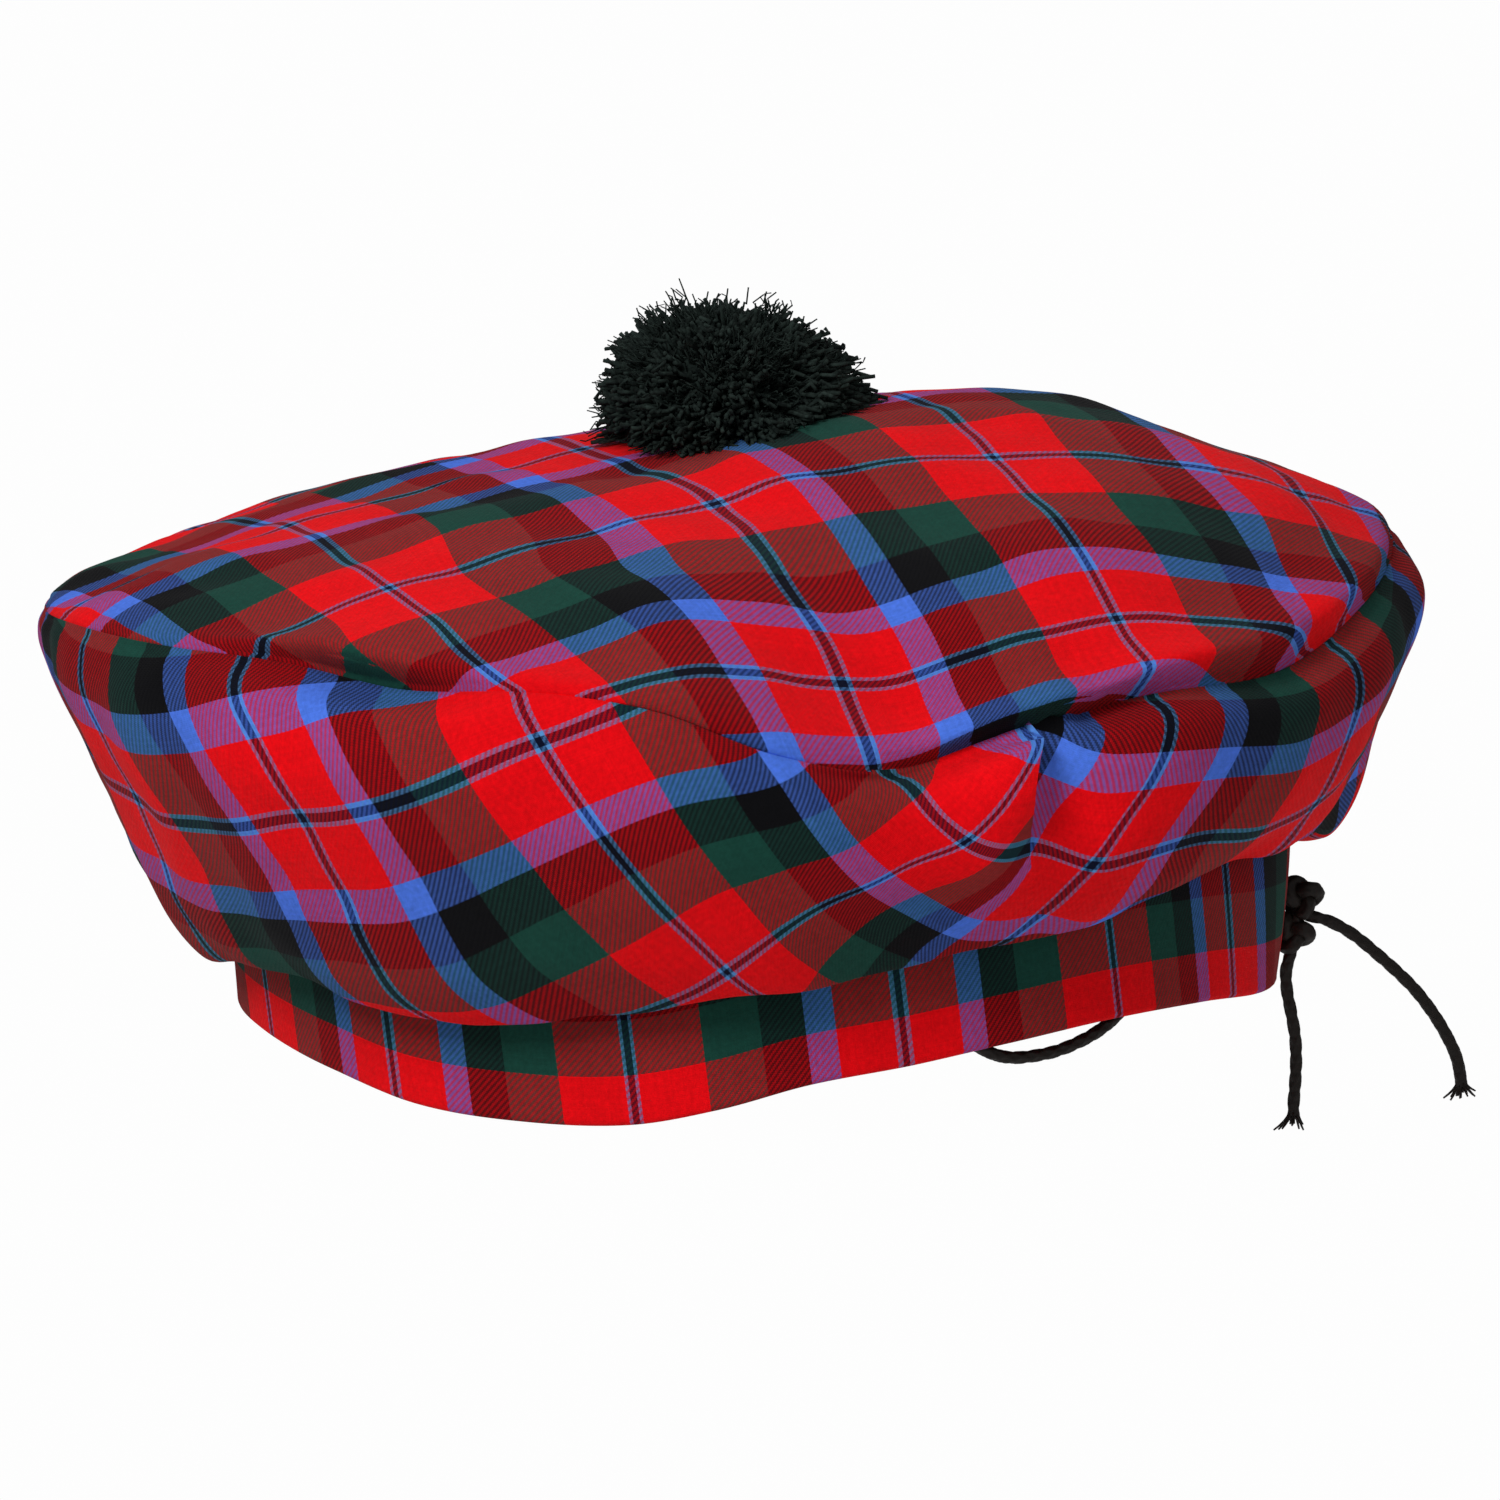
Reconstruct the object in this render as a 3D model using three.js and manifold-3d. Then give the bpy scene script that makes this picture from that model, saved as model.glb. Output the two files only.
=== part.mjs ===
// A balmoral bonnet: a round tartan crown gathered over an upright headband, with a wool pompom
// (the toorie) on top and a lace tied at the back of the band.
// Frame in millimetres: +Z up through the wearer's head, +X towards the back, where the lace is tied,
// and the bonnet's right side at -Y. The origin is the middle of the band's lower opening.
// An azimuth is measured round +Z from the -Y side, and grows towards the back.
import * as THREE from "three";
import { mergeVertices } from "three/addons/utils/BufferGeometryUtils.js";
import Module from "manifold-3d";

// Sizes of the cloth pieces.
const BAND_WALL = 2.4;
const BAND_TOP = 40;
const BAND_HEM = 0.7;
const CROWN_HEIGHT = 102;
const CLOTH_WALL = 1.6;
const GAP = 0.3;
const TURN_RISE = 6;
const TURN_TOP = 35;

// Shares of the way down a panel: where the top is tucked in beside the rim seam, where its slope
// into the seam is taken, where a fold in the top dies out before the seam, and where a fold in the
// side panel begins below it.
const TUCK_ZONE = 0.07;
const SLOPE_ZONE = 0.01;
const TOP_FOLD_END = 0.12;
const SIDE_FOLD_START = 0.04;

// Sizes of the toorie.
const TOORIE_X = 7;
const TOORIE_Y = 5;
const TOORIE_RADIUS = 23;
const TOORIE_RISE = 20;
const TOORIE_CLEAR = 1;
const TOORIE_SIDES = 20;
const TOORIE_FOOT = [0.35, 0.7, 0.9, 1];
const TOORIE_DOME = [0.97, 0.8, 0.45];
const LOCK_COUNT = 56;
const LOCK_LOW = 0.17;
const LOCK_LIFT = 0.12;
const LOCK_DEPTH = 5;
const LOCK_LENGTH = 9;
const LOCK_ROOT = 3.3;
const LOCK_TIP = 1.3;
const LOCK_SIDES = 5;

// Sizes of the lace, and the routes of its free stretches: x, y, z along the middle of the cord.
const LACE_RADIUS = 1.15;
const LACE_SIDES = 8;
const LONG_STEPS = 22;
const SHORT_STEPS = 16;
const LOOP_STEPS = 26;
const KNOT_STEPS = 12;
const KNOT_WAIST = 1.6 * LACE_RADIUS;
const KNOT_HUB = 0.4 * LACE_RADIUS;
const KNOT_LOBES = [
  { x: 99.1, y: 3, z: 3.5, ring: 1.95, tilt: 20 },
  { x: 96.9, y: 3, z: -2.8, ring: 1.65, tilt: -25 },
];
const LONG_END = [
  [102.5, 3.2, -1.2],
  [105, 3.5, -2.9],
  [107.6, 3.9, -5.2],
  [110.6, 4.3, -8.5],
  [114, 4.9, -12.5],
  [117.2, 5.5, -16.8],
  [120, 6.1, -21.8],
  [122, 6.6, -26.5],
  [123.2, 7, -30.6],
  [123.5, 7.3, -35.2],
  [123.2, 7.4, -38.8],
];
const SHORT_END = [
  [95.3, 2.8, -6.4],
  [94.2, 2.7, -9.2],
  [93.9, 2.6, -13],
  [94.2, 2.5, -17.4],
  [94.4, 2.4, -21.7],
  [94.1, 2.3, -26],
  [93.4, 2.2, -30.5],
  [92.7, 2.1, -34.2],
  [92.4, 2, -37.4],
];
const BAND_LOOP = [
  [29.4, -85.8, 14],
  [28.8, -84.2, 13.6],
  [29.3, -83.2, 11.9],
  [31.2, -82.7, 9],
  [34, -82, 5.6],
  [37.2, -80.8, 2.6],
  [40.2, -79.3, 0.7],
  [43.8, -77.2, -0.4],
  [49.2, -73.9, -0.9],
  [54, -70.8, -0.4],
  [58, -67.7, 0.6],
  [61.6, -64.6, 2.4],
  [64.6, -61.2, 5.2],
  [66.4, -58.6, 8.6],
  [67.4, -57, 11.6],
  [68.2, -57.2, 13.7],
  [69.5, -58.3, 14.2],
];

// How finely the cloth is divided: steps in azimuth, closer where the deep folds are, and rings.
const DIVISIONS = [
  { from: -60, to: 10, step: 5 },
  { from: 10, to: 40, step: 2.5 },
  { from: 40, to: 60, step: 5 },
  { from: 60, to: 300, step: 8 },
];
const TOP_RINGS = [0.16, 0.32, 0.46, 0.58, 0.68, 0.77, 0.85, 0.91, 0.96, 1];
const SIDE_RINGS = 14;

// The crown's section at each azimuth: the rim seam, the fullest point of the side panel, its lower
// part, the fold over the band and the band's lower edge, as distances out from the axis and up.
// slope and round shape the top from the middle to the rim, and tuck draws the seam in under it.
// bandOut is the band's radius at its top, and lean is how far it draws in at its lower edge.
const SECTION_COLUMNS = [
  "azimuth", "rimOut", "rimUp", "slope", "round", "tuck", "bellyOut", "bellyUp",
  "lowOut", "lowUp", "foldOut", "foldUp", "bandOut", "bandLow", "lean",
];
const SECTIONS = [
  [-180, 118, 68, 0.42, 3.2, 1, 121, 54, 113, 34, 102, 21, 94, 2, 0.5],
  [-155, 119, 73, 0.45, 3.2, 1, 121, 58, 113, 36, 101, 21, 94, 5, 0],
  [-130, 121, 78, 0.4, 3.4, 1, 122, 64, 113, 40, 99, 22, 94, 8, 0],
  [-105, 121, 83, 0.28, 3.4, 1, 121, 70, 112, 45, 98, 22, 93, 9, 0],
  [-88, 121, 86, 0.28, 3.4, 1, 120, 73, 110.5, 45, 99.5, 22, 93, 10, -0.8],
  [-72, 121, 89, 0.24, 3.4, 1, 120.5, 74, 112, 47, 101, 25, 94, 10, 0],
  [-55, 120, 89, 0.24, 3.6, 2, 121.5, 72, 114, 46, 101, 27.5, 94, 6.8, 0],
  [-42, 119, 88, 0.22, 3.6, 3.5, 123, 69, 115, 43, 101, 23, 94, 2.6, 0],
  [-30, 118, 84, 0.25, 3.6, 3, 123, 67, 114, 40, 101, 20, 94, 0.4, 0],
  [-16, 118, 82, 0.25, 3.4, 1, 122, 63, 113, 37, 101, 20, 94, -1, 0],
  [-6, 118, 77, 0.2, 3.2, 0.5, 121, 59, 113, 37, 101, 22.5, 94, 0.5, 0],
  [4, 117, 66.5, 0.12, 3, 0.5, 120, 54, 113, 36, 101, 22, 94, 3, 0],
  [15, 114, 59.5, 0, 3, 1.5, 118, 51, 113, 36, 101, 23, 94, 3.5, 0],
  [26, 119, 64, 0, 3, 2.5, 117, 52, 113, 35, 101, 23.5, 94, 3.8, 0],
  [40, 122, 65, 0, 3.2, 3, 120, 52, 114, 35, 101, 23.5, 94, 3, 0],
  [56, 123, 61.5, 0, 3.3, 2, 122, 51, 115, 34, 101, 24, 94.5, -0.5, 1],
  [72, 124.5, 65, 0.04, 3.6, 1, 124, 51, 114, 34, 102, 21, 96.5, -5.5, 3],
  [88, 125.5, 68, 0, 3.4, 1, 125, 55, 112, 33, 103, 18, 99.3, -8.5, 7.5],
  [110, 124, 67, 0, 3.2, 1, 123, 47, 120, 20, 110, 6, 98, -6, 6],
  [135, 121, 65, 0.12, 3.2, 1, 122, 46, 116, 24, 105, 9, 95.5, -3, 3],
  [158, 119, 65, 0.28, 3.2, 1, 122, 50, 115, 30, 103, 16, 94.5, 0, 1],
];

// Soft valleys (depth above 0) and ridges (below 0) of the top. from and full are shares of the
// way out to the rim, where the fold begins and where it has its whole depth.
const TOP_FOLDS = [
  { azimuth: 15, width: 9, from: 0.45, full: 0.92, depth: 3 },
  { azimuth: 0, width: 8, from: 0.5, full: 0.9, depth: -3 },
  { azimuth: 34, width: 12, from: 0.4, full: 0.62, depth: 5 },
  { azimuth: 116, width: 22, from: 0.45, full: 0.78, depth: 5 },
];

// Folds that run down the side panel: azimuth at the seam and at the band, width in degrees,
// the share of the way down where the fold is deepest, its reach above and below, and its depth.
const SIDE_FOLDS = [
  { seam: 16, hem: 24, width: 5, middle: 0.06, reach: 0.16, depth: 4 },
  { seam: 23, hem: 25, width: 4, middle: 0.18, reach: 0.12, depth: -3 },
  { seam: 29, hem: 27, width: 3, middle: 0.1, reach: 0.16, depth: 6 },
  { seam: 36, hem: 33, width: 6, middle: 0.2, reach: 0.2, depth: -1.5 },
];

const COLUMN = Object.fromEntries(SECTION_COLUMNS.map((name, i) => [name, i]));

// The named column at an azimuth: a smooth closed curve through the sections.
function section(name, azimuth) {
  const column = COLUMN[name];
  const count = SECTIONS.length;
  const around = ((((azimuth + 180) % 360) + 360) % 360) - 180;
  const value = (i) => SECTIONS[(i + count) % count][column];
  const at = (i) => SECTIONS[(i + count) % count][0] + 360 * Math.floor(i / count);
  const slopeAt = (i) => (value(i + 1) - value(i - 1)) / (at(i + 1) - at(i - 1));
  let i = count - 1;
  while (at(i) > around) i -= 1;
  const span = at(i + 1) - at(i);
  const t = (around - at(i)) / span;
  return (
    (2 * t ** 3 - 3 * t ** 2 + 1) * value(i) +
    (t ** 3 - 2 * t ** 2 + t) * span * slopeAt(i) +
    (3 * t ** 2 - 2 * t ** 3) * value(i + 1) +
    (t ** 3 - t ** 2) * span * slopeAt(i + 1)
  );
}

// 0 below 0, 1 above 1, and a smooth ramp between.
function ease(t) {
  return THREE.MathUtils.smoothstep(t, 0, 1);
}

// A bell of height 1 round 0.
function bell(distance, width) {
  return Math.exp(-0.5 * (distance / width) ** 2);
}

// The shorter way from one azimuth to another.
function turn(from, to) {
  return ((((to - from + 180) % 360) + 360) % 360) - 180;
}

// A point at a distance out from the axis, at an azimuth and a height.
function polar(azimuth, out, up) {
  const a = THREE.MathUtils.degToRad(azimuth);
  return new THREE.Vector3(out * Math.sin(a), -out * Math.cos(a), up);
}

// The upper face of the crown's top, share 0 at its middle and 1 at the rim seam.
function topPoint(azimuth, share) {
  const slope = section("slope", azimuth);
  const fall = slope * share + (1 - slope) * share ** section("round", azimuth);
  const drop = (CROWN_HEIGHT - section("rimUp", azimuth)) * fall;
  let dent = 0;
  for (const fold of TOP_FOLDS) {
    const along = ease((share - fold.from) / (fold.full - fold.from));
    const end = Math.sqrt(Math.min(1, (1 - share) / TOP_FOLD_END));
    dent += fold.depth * bell(turn(fold.azimuth, azimuth), fold.width) * along * end;
  }
  const tuck = section("tuck", azimuth) * ease((share - 1 + TUCK_ZONE) / TUCK_ZONE);
  return polar(azimuth, section("rimOut", azimuth) * share - tuck, CROWN_HEIGHT - drop - dent);
}

// The direction in which the top's section leaves the rim seam, seen at one azimuth.
function seamDirection(azimuth) {
  return topPoint(azimuth, 1).sub(topPoint(azimuth, 1 - SLOPE_ZONE)).normalize();
}

// The outer face of the side panel, share 0 at the rim seam and 1 at its upper end inside the fold.
function sidePoint(azimuth, share) {
  const seam = topPoint(azimuth, 1).addScaledVector(seamDirection(azimuth), GAP);
  const seamOut = Math.hypot(seam.x, seam.y);
  const foldUp = section("foldUp", azimuth);
  const bandOut = section("bandOut", azimuth);
  const knots = [
    [seamOut, seam.z],
    [section("bellyOut", azimuth), section("bellyUp", azimuth)],
    [section("lowOut", azimuth), section("lowUp", azimuth)],
    [section("foldOut", azimuth), foldUp],
    [bandOut + 3 * GAP, foldUp + TURN_RISE],
    [bandOut + 2 * GAP, Math.max(TURN_TOP, foldUp + 2 * TURN_RISE)],
  ];
  const last = knots.length - 1;
  const i = Math.min(last - 1, Math.floor(share * last));
  const t = share * last - i;
  const knot = (k, axis) => {
    if (k < 0) return 2 * knots[0][axis] - knots[1][axis];
    if (k > last) return 2 * knots[last][axis] - knots[last - 1][axis];
    return knots[k][axis];
  };
  const curve = (axis) => {
    const [a, b, c, d] = [-1, 0, 1, 2].map((k) => knot(i + k, axis));
    return 0.5 * (2 * b + (c - a) * t + (2 * a - 5 * b + 4 * c - d) * t ** 2 + (3 * b - a - 3 * c + d) * t ** 3);
  };
  let dent = 0;
  for (const fold of SIDE_FOLDS) {
    const centre = THREE.MathUtils.lerp(fold.seam, fold.hem, share);
    const nearSeam = ease(share / SIDE_FOLD_START);
    dent += fold.depth * bell(turn(centre, azimuth), fold.width) * bell(share - fold.middle, fold.reach) * nearSeam;
  }
  return polar(azimuth, curve(0) - dent, curve(1));
}

// The cloth's inner face: the point moved in by the wall, square to the face.
function inside(face, azimuth, share) {
  const turned = 0.5;
  const moved = 0.004;
  const low = Math.max(0, share - moved);
  const high = Math.min(1, share + moved);
  const across = face(azimuth + turned, share).sub(face(azimuth - turned, share));
  const along = face(azimuth, high).sub(face(azimuth, low));
  const inward = along.cross(across).setLength(-CLOTH_WALL);
  return face(azimuth, share).add(inward);
}

// The azimuths of the cloth's sections.
function azimuths() {
  const list = [];
  for (const { from, to, step } of DIVISIONS) {
    for (let a = from; a < to; a += step) list.push(a);
  }
  return list;
}

// A closed mesh from rings of points. Each ring is joined to the next, and the last to the first
// when closed; a ring of one point is a pole.
function skin(rings, closed) {
  const positions = [];
  const starts = rings.map((ring) => {
    const start = positions.length / 3;
    ring.forEach((p) => positions.push(p.x, p.y, p.z));
    return start;
  });
  const index = [];
  const joins = closed ? rings.length : rings.length - 1;
  for (let r = 0; r < joins; r += 1) {
    const next = (r + 1) % rings.length;
    const count = Math.max(rings[r].length, rings[next].length);
    for (let k = 0; k < count; k += 1) {
      const here = (ring, j) => starts[ring] + (j % rings[ring].length);
      const [a, b, c, d] = [here(r, k), here(next, k), here(next, k + 1), here(r, k + 1)];
      if (b !== c) index.push(a, b, c);
      if (a !== d) index.push(a, c, d);
    }
  }
  const geometry = new THREE.BufferGeometry();
  geometry.setAttribute("position", new THREE.Float32BufferAttribute(positions, 3));
  geometry.setIndex(index);
  return geometry;
}

// The round top panel, a domed disc of cloth.
function crownTop() {
  const around = azimuths();
  const upper = TOP_RINGS.map((share) => around.map((a) => topPoint(a, share)));
  const lower = TOP_RINGS.map((share) => around.map((a) => inside(topPoint, a, share)));
  const peak = new THREE.Vector3(0, 0, CROWN_HEIGHT);
  const root = new THREE.Vector3(0, 0, CROWN_HEIGHT - CLOTH_WALL);
  return skin([[peak], ...upper, ...lower.reverse(), [root]], false);
}

// The side panel, from the rim seam over the fold and up between the crown and the band.
function crownSide() {
  const around = azimuths();
  const shares = Array.from({ length: SIDE_RINGS + 1 }, (_, i) => i / SIDE_RINGS);
  const seamWall = (a) => inside(topPoint, a, 1).addScaledVector(seamDirection(a), GAP);
  const outer = shares.map((share) => around.map((a) => sidePoint(a, share)));
  const inner = shares.map((share) =>
    around.map((a) => (share === 0 ? seamWall(a) : inside(sidePoint, a, share))),
  );
  return skin([...outer, ...inner.reverse()], true);
}

// The upright headband, a doubled strip with a rounded lower hem.
function headband() {
  const around = azimuths();
  const ring = (rise, inward) =>
    around.map((a) => {
      const low = section("bandLow", a);
      const up = rise < 1 ? low + (BAND_TOP - low) * rise : BAND_TOP;
      return polar(a, section("bandOut", a) - section("lean", a) * (1 - rise) ** 2 - inward, up);
    });
  const hemRise = BAND_HEM / BAND_TOP;
  return skin(
    [
      ring(1, 0),
      ring(0.5, 0),
      ring(hemRise, 0),
      ring(0, BAND_HEM),
      ring(0, BAND_WALL - BAND_HEM),
      ring(hemRise, BAND_WALL),
      ring(0.5, BAND_WALL),
      ring(1, BAND_WALL),
    ],
    true,
  );
}

const wasm = await Module();
wasm.setup();

// A closed geometry as a solid that can be joined and cut.
function solid(geometry) {
  const bare = geometry.clone();
  bare.deleteAttribute("normal");
  bare.deleteAttribute("uv");
  const merged = mergeVertices(bare, 1e-3);
  return new wasm.Manifold(
    new wasm.Mesh({
      numProp: 3,
      vertProperties: new Float32Array(merged.attributes.position.array),
      triVerts: new Uint32Array(merged.index.array),
    }),
  );
}

// A solid's faces as a geometry again.
function geometryOf(made) {
  const mesh = made.getMesh();
  const geometry = new THREE.BufferGeometry();
  geometry.setAttribute("position", new THREE.Float32BufferAttribute(mesh.vertProperties, 3));
  geometry.setIndex(new THREE.Uint32BufferAttribute(mesh.triVerts, 1));
  return geometry;
}

// The crown's upper face straight below or above a point.
function crownUpAt(x, y) {
  const out = Math.hypot(x, y);
  const azimuth = THREE.MathUtils.radToDeg(Math.atan2(x, -y));
  return topPoint(azimuth, out / section("rimOut", azimuth)).z;
}

// The toorie: a dome of wool trimmed flat below, with locks fused to it all round.
function toorie() {
  const ringAt = (share, rise) =>
    Array.from({ length: TOORIE_SIDES }, (_, k) => {
      const a = (2 * Math.PI * k) / TOORIE_SIDES;
      const x = TOORIE_X + TOORIE_RADIUS * share * Math.cos(a);
      const y = TOORIE_Y + TOORIE_RADIUS * share * Math.sin(a);
      return new THREE.Vector3(x, y, crownUpAt(x, y) + TOORIE_CLEAR + TOORIE_RISE * rise);
    });
  const foot = new THREE.Vector3(TOORIE_X, TOORIE_Y, crownUpAt(TOORIE_X, TOORIE_Y) + TOORIE_CLEAR);
  const crest = foot.clone().setZ(foot.z + TOORIE_RISE);
  const under = TOORIE_FOOT.map((share) => ringAt(share, 0));
  const over = TOORIE_DOME.map((share) => ringAt(share, Math.sqrt(1 - share ** 2)));
  let made = solid(skin([[crest], ...over.reverse(), ...under.reverse(), [foot]], false));
  const golden = Math.PI * (3 - Math.sqrt(5));
  for (let k = 0; k < LOCK_COUNT; k += 1) {
    const rise = LOCK_LOW + ((1 - LOCK_LOW) * (k + 0.5)) / LOCK_COUNT;
    const flat = Math.sqrt(1 - rise ** 2);
    const a = golden * k;
    const direction = new THREE.Vector3(flat * Math.cos(a), flat * Math.sin(a), rise + LOCK_LIFT).normalize();
    const root = new THREE.Vector3(
      TOORIE_X + (TOORIE_RADIUS - LOCK_DEPTH) * flat * Math.cos(a),
      TOORIE_Y + (TOORIE_RADIUS - LOCK_DEPTH) * flat * Math.sin(a),
      foot.z + (TOORIE_RISE - LOCK_DEPTH) * rise,
    );
    const lock = new THREE.CylinderGeometry(LOCK_TIP, LOCK_ROOT, LOCK_LENGTH, LOCK_SIDES);
    lock.rotateY(k);
    lock.applyQuaternion(new THREE.Quaternion().setFromUnitVectors(new THREE.Vector3(0, 1, 0), direction));
    const middle = root.addScaledVector(direction, LOCK_LENGTH / 2);
    lock.translate(middle.x, middle.y, middle.z);
    made = made.add(solid(lock));
  }
  return geometryOf(made);
}

// A round cord along a smooth curve through the points.
function cord(points, steps) {
  const path = new THREE.CatmullRomCurve3(points.map((p) => new THREE.Vector3(...p)), false, "centripetal");
  const corners = Array.from({ length: LACE_SIDES }, (_, k) => {
    const a = (2 * Math.PI * k) / LACE_SIDES;
    return new THREE.Vector2(LACE_RADIUS * Math.cos(a), LACE_RADIUS * Math.sin(a));
  });
  const outline = new THREE.Shape(corners);
  return new THREE.ExtrudeGeometry(outline, { steps, bevelEnabled: false, extrudePath: path });
}

// The double knot: two rings of cord drawn tight, one on the other, and the stubs that run from
// them to the band.
function laceKnot() {
  const [upper, lower] = KNOT_LOBES;
  const bar = (from, to, radius) => {
    const span = new THREE.Vector3().subVectors(to, from);
    const piece = new THREE.CylinderGeometry(radius, radius, span.length(), LACE_SIDES);
    piece.applyQuaternion(
      new THREE.Quaternion().setFromUnitVectors(new THREE.Vector3(0, 1, 0), span.clone().normalize()),
    );
    const middle = from.clone().addScaledVector(span, 0.5);
    return solid(piece.translate(middle.x, middle.y, middle.z));
  };
  const centre = (lobe) => new THREE.Vector3(lobe.x, lobe.y, lobe.z);
  let made = bar(centre(upper), centre(lower), KNOT_WAIST);
  for (const lobe of KNOT_LOBES) {
    const ring = new THREE.TorusGeometry(lobe.ring, LACE_RADIUS, LACE_SIDES, KNOT_STEPS);
    ring.rotateX(Math.PI / 2);
    ring.rotateY(THREE.MathUtils.degToRad(lobe.tilt));
    ring.translate(lobe.x, lobe.y, lobe.z);
    made = made.add(solid(ring));
    const hub = new THREE.SphereGeometry(lobe.ring + KNOT_HUB, KNOT_STEPS, LACE_SIDES);
    hub.translate(lobe.x, lobe.y, lobe.z);
    made = made.add(solid(hub));
    const azimuth = THREE.MathUtils.radToDeg(Math.atan2(lobe.x, -lobe.y));
    const low = section("bandLow", azimuth);
    const rise = (lobe.z - low) / (BAND_TOP - low);
    const wall = section("bandOut", azimuth) - section("lean", azimuth) * (1 - rise) ** 2;
    made = made.add(bar(centre(lobe), new THREE.Vector3(wall + 2 * GAP, lobe.y, lobe.z), LACE_RADIUS));
  }
  return geometryOf(made);
}

// A named piece with its own colour and finish.
function piece(name, geometry, colour, roughness) {
  geometry.computeVertexNormals();
  const material = new THREE.MeshStandardMaterial({ color: colour, roughness, metalness: 0 });
  const mesh = new THREE.Mesh(geometry, material);
  mesh.name = name;
  return mesh;
}

const bonnet = new THREE.Group();
bonnet.add(
  piece("crown_top", crownTop(), 0xa31a22, 0.9),
  piece("crown_side", crownSide(), 0x8c1820, 0.9),
  piece("headband", headband(), 0x76161c, 0.9),
  piece("toorie", toorie(), 0x12261f, 0.95),
);

const lace = new THREE.Group();
lace.add(
  piece("lace_knot", laceKnot(), 0x1a1512, 0.6),
  piece("lace_end_long", cord(LONG_END, LONG_STEPS), 0x1a1512, 0.6),
  piece("lace_end_short", cord(SHORT_END, SHORT_STEPS), 0x1a1512, 0.6),
  piece("lace_loop", cord(BAND_LOOP, LOOP_STEPS), 0x1a1512, 0.6),
);
bonnet.add(lace);

export default bonnet;
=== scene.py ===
import math

import bpy
import numpy as np
from mathutils import Matrix, Vector


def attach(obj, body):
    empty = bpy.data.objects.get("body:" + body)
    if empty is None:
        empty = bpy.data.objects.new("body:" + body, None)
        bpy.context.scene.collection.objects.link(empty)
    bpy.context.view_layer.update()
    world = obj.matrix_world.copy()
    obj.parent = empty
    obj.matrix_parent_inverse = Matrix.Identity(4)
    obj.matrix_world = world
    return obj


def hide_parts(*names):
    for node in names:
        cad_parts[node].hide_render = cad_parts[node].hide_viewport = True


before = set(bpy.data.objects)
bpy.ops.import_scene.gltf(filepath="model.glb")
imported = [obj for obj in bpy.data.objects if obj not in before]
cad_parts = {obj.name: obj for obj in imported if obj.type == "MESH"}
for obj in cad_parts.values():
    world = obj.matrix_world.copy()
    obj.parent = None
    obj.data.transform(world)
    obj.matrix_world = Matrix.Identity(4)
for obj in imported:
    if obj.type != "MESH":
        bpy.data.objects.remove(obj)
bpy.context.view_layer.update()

# The studio. White paper far below the bonnet, a white surround, one broad softbox up in front on
# the left and two weaker ones. The camera looks down a little from the bonnet's right side, and is
# rolled so that the back of the bonnet stands higher in the picture.
AIM = Vector((0.00305, 0.00886, 0.04167))
CAMERA_DISTANCE = 2.5
CAMERA_DROP = math.radians(12)
CAMERA_ROLL = math.radians(7)
SENSOR_MM = 36
VIEW_WIDTH = 0.27

sight = Vector((0, math.cos(CAMERA_DROP), -math.sin(CAMERA_DROP)))
level = Vector((1, 0, 0))
upright = Vector((0, math.sin(CAMERA_DROP), math.cos(CAMERA_DROP)))
picture_right = level * math.cos(CAMERA_ROLL) - upright * math.sin(CAMERA_ROLL)
picture_up = level * math.sin(CAMERA_ROLL) + upright * math.cos(CAMERA_ROLL)


def set_up(name, data):
    """A new object that stands in the scene."""
    made = bpy.data.objects.new(name, data)
    bpy.context.scene.collection.objects.link(made)
    return made


camera_data = bpy.data.cameras.new("camera")
camera_data.sensor_width = SENSOR_MM
camera_data.lens = SENSOR_MM * CAMERA_DISTANCE / VIEW_WIDTH
camera = set_up("camera", camera_data)
turned = Matrix((picture_right, picture_up, -sight)).transposed()
camera.matrix_world = Matrix.Translation(AIM - sight * CAMERA_DISTANCE) @ turned.to_4x4()
bpy.context.scene.camera = camera
bpy.context.scene.view_settings.view_transform = "Standard"

SOFTBOXES = [
    {"name": "key", "place": (-0.9, -1.5, 1.7), "size": 0.9, "watts": 40},
    {"name": "fill", "place": (1.3, -1.5, 0.7), "size": 1.2, "watts": 4},
    {"name": "top", "place": (0.2, 0.9, 1.6), "size": 1.2, "watts": 6},
]
for box in SOFTBOXES:
    lamp = bpy.data.lights.new(box["name"], "AREA")
    lamp.size = box["size"]
    lamp.energy = box["watts"]
    softbox = set_up(box["name"], lamp)
    place = Vector(box["place"])
    aimed = (AIM - place).to_track_quat("-Z", "Y").to_matrix().to_4x4()
    softbox.matrix_world = Matrix.Translation(place) @ aimed

SURROUND_LIGHT = 0.27
SEEN_WHITE = 0.985


def wired(tree, node, inputs):
    """The node, with each input set to a number or a colour, or joined to another node's output."""
    for socket, value in inputs.items():
        if isinstance(value, (int, float, tuple)):
            node.inputs[socket].default_value = value
        else:
            tree.links.new(value, node.inputs[socket])
    return node


def lit_and_seen(tree, lighting, output):
    """What lights the bonnet is one shader, and what the camera sees there is plain white."""
    of_world = output.type == "OUTPUT_WORLD"
    white = tree.nodes.new("ShaderNodeBackground" if of_world else "ShaderNodeEmission")
    wired(tree, white, {"Color": (SEEN_WHITE, SEEN_WHITE, SEEN_WHITE, 1)})
    to_camera = tree.nodes.new("ShaderNodeLightPath").outputs["Is Camera Ray"]
    choice = tree.nodes.new("ShaderNodeMixShader")
    wired(tree, choice, {0: to_camera, 1: lighting.outputs[0], 2: white.outputs[0]})
    wired(tree, output, {"Surface": choice.outputs[0]})


def new_finish(name):
    """A finish, its node tree and its shader."""
    finish = bpy.data.materials.new(name)
    finish.use_nodes = True
    return finish, finish.node_tree, finish.node_tree.nodes["Principled BSDF"]


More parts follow.
